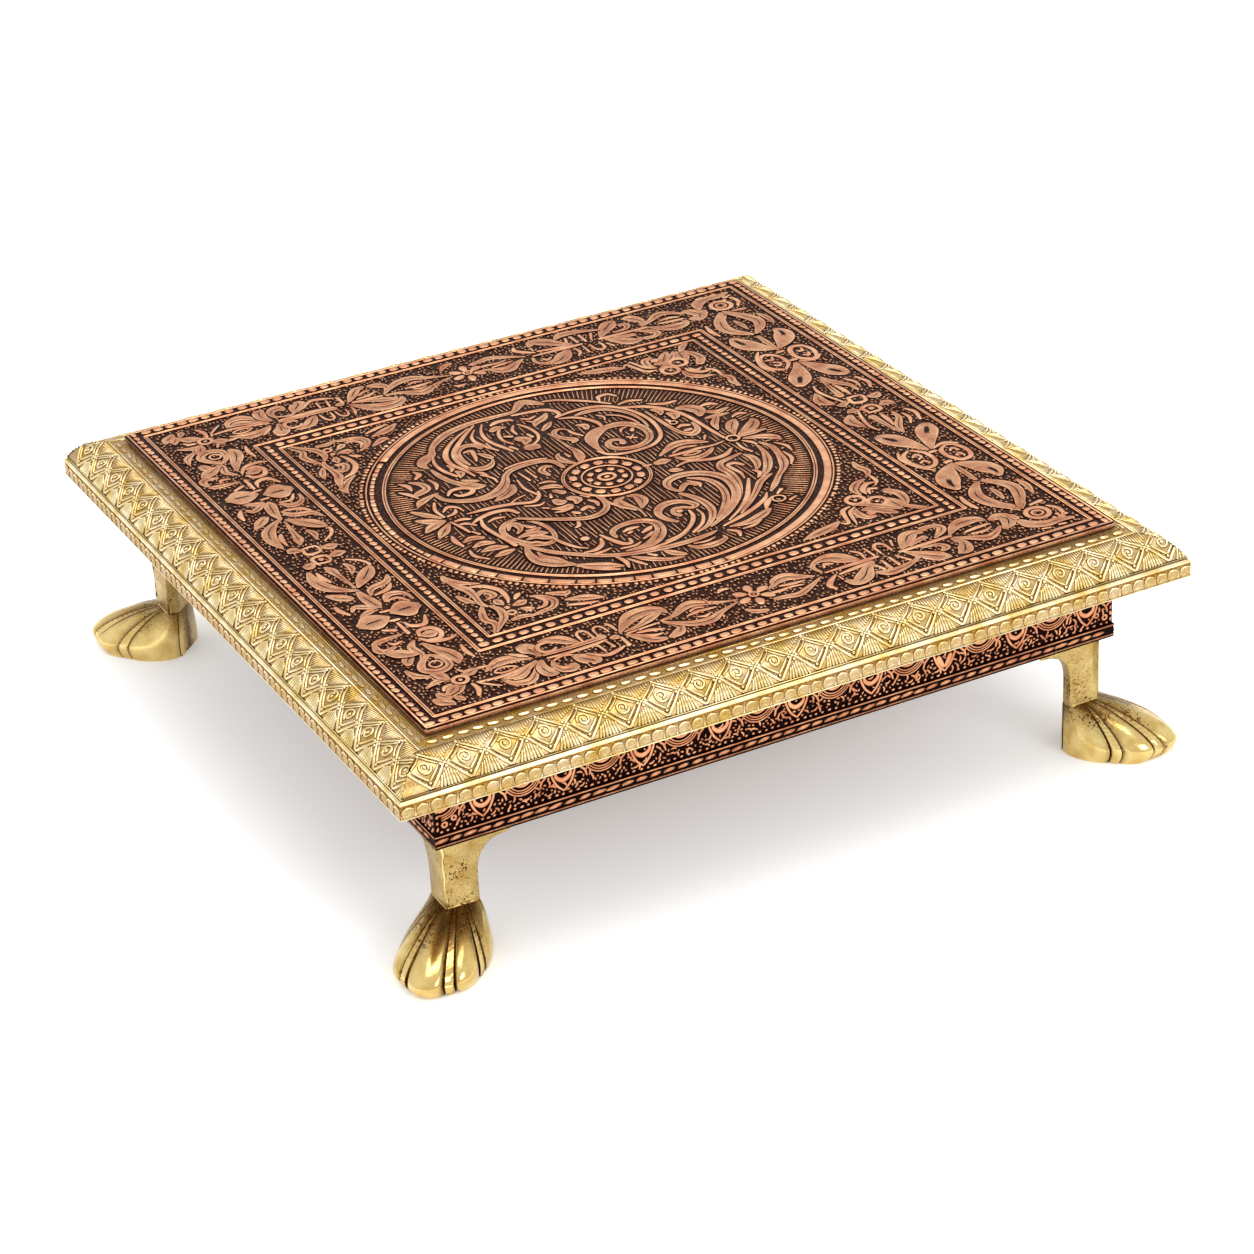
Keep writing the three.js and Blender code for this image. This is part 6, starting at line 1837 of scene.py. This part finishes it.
def medallion_relief():
    """The medallion's frame, rosette and drawn strokes, and hatching where its ground is bare."""
    relief = new_relief(PLATE_RISE, LEAF_MOAT)
    rng = random.Random(19)
    medallion_frame(relief, rng)
    rosette(relief)
    relief["layer"] = 0
    for shape in MEDALLION_STROKES:
        leaf(relief, shape)
    relief["layer"] = 2
    bead(relief, (-28, -42), 1.9, 1.8)
    bead(relief, (10.4, -41.4), 1.5, 1.4)
    ring(relief, (45, -52.2), 2.4, 0.5, steps=14)
    ring(relief, (56.5, 1), 2.4, 0.6, steps=14)
    ring(relief, (44.8, 25.4), 1.5, 0.4, steps=10)
    hatch = [run for line in hatch_lines(rng) for run in free_runs(relief, line)]
    relief["moat"] = FINE_MOAT
    relief["layer"] = None
    for a, b in hatch:
        middle = (a + b) / 2 + (rng.uniform(-0.15, 0.15), 0)
        wide = rng.uniform(0.3, 0.42)
        stroke(relief, [(*a, wide * 0.7), (*middle, wide), (*b, wide * 0.7)], ROUND_SECTION, 0.8, steps=1)
    return relief


def on_plate(x, y, high):
    return np.column_stack([x, y, GROUND + high])


border, punched_ground = border_relief()
plate = join_pieces([plate_sheet(), relief_object("border_relief", border, on_plate)], "plate_sheet")
finish_piece(plate, copper_plate, "plate_copper", "copper_plate")
grains = relief_object("punched_grains", punched_ground, on_plate)
finish_piece(grains, copper_plate, "plate_copper", "copper_plate")
medallion = relief_object("medallion_relief", medallion_relief(), on_plate)
finish_piece(medallion, copper_plate, "plate_copper", "copper_plate")


# Legs: cast brass, each an angle of two flat wings with curved brackets, on a paw of five toes. The
# castings are left as they came on the shaft, pitted and scratched, and polished on the toes.
PAW_HEIGHT = 18.5
PAW_HEEL_REACH = 18.5
PAW_TOE_REACH = 21.96
PAW_HALF_WIDTH = 15.96
PAW_BACK_HALF_WIDTH = 9
PAW_BULGE_HEIGHT = 5
PAW_FOOT_SHARE = 0.9
PAW_RINGS = 44
GROOVE_DEPTH = 2.6
SHAFT_WIDTH = 12.3
WING_THICKNESS = 4.5
LEG_HALF = 130.1
CUT_HEIGHT = 18.2
FLANGE_FOOT = 40.5
SHAFT_ROUNDING = 0.45
SHAFT_SHINE = 0.48
SEAM_TOP = 43.2
SEAM_STEP = 1.9
SEAM_RISE = 0.45
GROOVE_PAINTED_SHADE = 0.05
NOTCH_DEPTH = 0.12
NOTCH_PAINTED_SHADE = 0.25
PAW_BACK_PAINTED_SHADE = 0.2
NECK_PAINTED_REFLECTION = 0.32
NECK_REFLECTION_FADE = 10
GROOVE_SHARES = [-1, -0.38, -0.145, 0.145, 0.38, 1]
TOE_EDGE = 0.17
EVEN_TOE = 0.29
RIDGE_DEPTHS = (0.42, 0.44)
TOE_SHARES = [  # place across a toe, and how deep into the groove
    (0, 0.42), (0.085, 0.44), (0.1, 0.9), (0.115, 1), (0.14, 0.8), (0.17, 0.52), (0.21, 0.32),
    (0.28, 0.17), (0.38, 0.05), (0.5, 0), (0.62, 0.05), (0.72, 0.17), (0.79, 0.32), (0.83, 0.52),
    (0.86, 0.8), (0.885, 1), (0.9, 0.9), (0.915, 0.44),
]

cast_brass = aged_metal(
    "cast_brass", 0.00005,
    Bright=colour(234, 208, 138), Warm=colour(206, 170, 96), Deep=colour(96, 58, 16),
    Low=0.05, High=0.85, Fleck=0.3, Smooth=0.07, Dull=0.4, Pits=0.95,
)


def paw_reach(angle, z, depth_share):
    """How far the paw reaches from its flat back, at an angle from the middle toe and at a height."""
    back_distance = (SHAFT_WIDTH + WING_THICKNESS) / math.sqrt(2)
    back_half = (SHAFT_WIDTH - WING_THICKNESS) / math.sqrt(2)
    c, s = math.cos(angle), abs(math.sin(angle))
    heel_long = PAW_HEEL_REACH / math.sqrt(1 - (PAW_BACK_HALF_WIDTH / PAW_HALF_WIDTH) ** 2)
    long = PAW_TOE_REACH if s * PAW_HEEL_REACH < c * PAW_HALF_WIDTH else heel_long
    a = (c / long) ** 2 + (s / PAW_HALF_WIDTH) ** 2
    b = PAW_HEEL_REACH * c / long ** 2
    widest = (b + math.sqrt(b ** 2 - a * ((PAW_HEEL_REACH / long) ** 2 - 1))) / a
    face = back_distance / (c + s)
    neck = min(face, back_half / (s - c)) if s > c else face
    rising = max(z - PAW_BULGE_HEIGHT, 0) / (PAW_HEIGHT - PAW_BULGE_HEIGHT)
    tucked = 1 - min(z / PAW_BULGE_HEIGHT, 1)
    swell = (1 - rising ** 1.5) ** 0.8 - (1 - PAW_FOOT_SHARE) * tucked ** 2
    fading = min(1, (PAW_HEIGHT - z) / PAW_BULGE_HEIGHT)
    return neck + (widest - neck) * swell - GROOVE_DEPTH * depth_share * math.sqrt(max(swell, 0)) * fading


def paw(name, quarter):
    """The paw of a leg: rings of its outline from the floor up, closed at its flat back."""
    places = []
    for start, end in zip(GROOVE_SHARES, GROOVE_SHARES[1:]):
        edge = TOE_EDGE * min(1, EVEN_TOE / (end - start))
        for share, depth in TOE_SHARES:
            share = np.interp(share, [0, TOE_EDGE, 1 - TOE_EDGE, 1], [0, edge, 1 - edge, 1])
            places.append((math.pi / 2 * (start + (end - start) * share), depth))
    places.append((math.pi / 2, TOE_SHARES[0][1]))
    levels = [PAW_HEIGHT * math.sin(math.pi / 2 * i / PAW_RINGS) ** 1.25 for i in range(PAW_RINGS + 1)]
    back = (SHAFT_WIDTH + WING_THICKNESS) / 2 - LEG_HALF
    turn = 5 * math.pi / 4
    points, metal = [], []
    for level, z in enumerate(levels):
        for angle, depth in places:
            on_ridge = depth in RIDGE_DEPTHS
            notch = on_ridge * (level % 2)
            reach = paw_reach(angle, z, depth + NOTCH_DEPTH * notch)
            x, y = reach * math.cos(angle + turn) + back, reach * math.sin(angle + turn) + back
            points.append((x, y, z))
            # The grooves between the toes and the notches across the ridges are darkened: painted shade.
            bright = 1 - NOTCH_PAINTED_SHADE * notch if on_ridge else 1 - (1 - GROOVE_PAINTED_SHADE) * depth
            # Each toe darkens upwards towards the neck under the shaft: a painted reflection of the dark
            # underside.
            metal.append(bright * (NECK_PAINTED_REFLECTION + (1 - NECK_PAINTED_REFLECTION) * min(1, (PAW_HEIGHT - z) / NECK_REFLECTION_FADE)))
        points.append((back, back, z))
        # The flat back of the paw is dark: painted shade.
        metal.append(PAW_BACK_PAINTED_SHADE)
    count = len(places) + 1
    faces = [list(range(count))[::-1], [PAW_RINGS * count + i for i in range(count)]]
    faces += ring_faces(PAW_RINGS + 1, count)
    mesh = bpy.data.meshes.new(name)
    placed = turned_about_table(np.array(points), quarter) * MM
    mesh.from_pydata(placed.tolist(), [], faces)
    keep_metal(mesh, metal)
    foot = new_piece(name, mesh)
    face_outwards(foot)
    bpy.ops.object.shade_smooth_by_angle(angle=math.radians(50))
    return foot


def shaft(corner):
    """The shaft and its brackets, from the leg's solid cut above the paw, its edges rounded."""
    upper = new_piece("shaft_" + corner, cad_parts["leg_" + corner].data.copy())
    edit_whole(upper)
    bpy.ops.mesh.select_mode(type="EDGE")
    bpy.ops.mesh.select_all(action="SELECT")
    bpy.ops.mesh.remove_doubles(threshold=0.00001)
    bpy.ops.mesh.bisect(plane_co=(0, 0, CUT_HEIGHT * MM), plane_no=(0, 0, 1), use_fill=True, clear_inner=True)
    bpy.ops.mesh.select_all(action="SELECT")
    bpy.ops.mesh.dissolve_limited(angle_limit=math.radians(1))
    bpy.ops.mesh.select_all(action="DESELECT")
    bpy.ops.mesh.edges_select_sharp(sharpness=math.radians(32))
    bpy.ops.object.mode_set(mode="OBJECT")
    for edge in upper.data.edges:
        heights = [upper.data.vertices[v].co.z for v in edge.vertices]
        if min(heights) > FLANGE_FOOT * MM or max(heights) < (CUT_HEIGHT + 0.1) * MM:
            edge.select = False
    bpy.ops.object.mode_set(mode="EDIT")
    bpy.ops.mesh.bevel(offset=SHAFT_ROUNDING * MM, segments=3)
    bpy.ops.object.mode_set(mode="OBJECT")
    face_outwards(upper)
    bpy.ops.object.shade_smooth_by_angle(angle=math.radians(40))
    keep_metal(upper.data, [SHAFT_SHINE] * len(upper.data.vertices))
    return upper


def casting_seam(quarter):
    """The line that the two halves of the mould left down the outer corner of a shaft."""
    draw = random.Random(71 + quarter)
    relief = new_relief(SEAM_RISE)
    heights = np.arange(SEAM_TOP, CUT_HEIGHT - 0.2, -SEAM_STEP)
    down = [(draw.uniform(-0.25, 0.25), z, draw.uniform(0.25, 0.6)) for z in heights]
    stroke(relief, down, ROUND_SECTION, steps=3)

    def on_corner(x, z, high):
        out = LEG_HALF - 0.28 + high / math.sqrt(2)
        side = x / math.sqrt(2)
        return turned_about_table(np.column_stack([-out + side, -out - side, z]), quarter)

    return relief_object("seam_" + CORNERS[quarter], relief, on_corner)


for quarter, corner in enumerate(CORNERS):
    cast = [shaft(corner), paw("paw_" + corner, quarter), casting_seam(quarter)]
    leg = join_pieces(cast, "cast_leg_" + corner)
    finish_piece(leg, cast_brass, "cast_brass", "leg_" + corner)
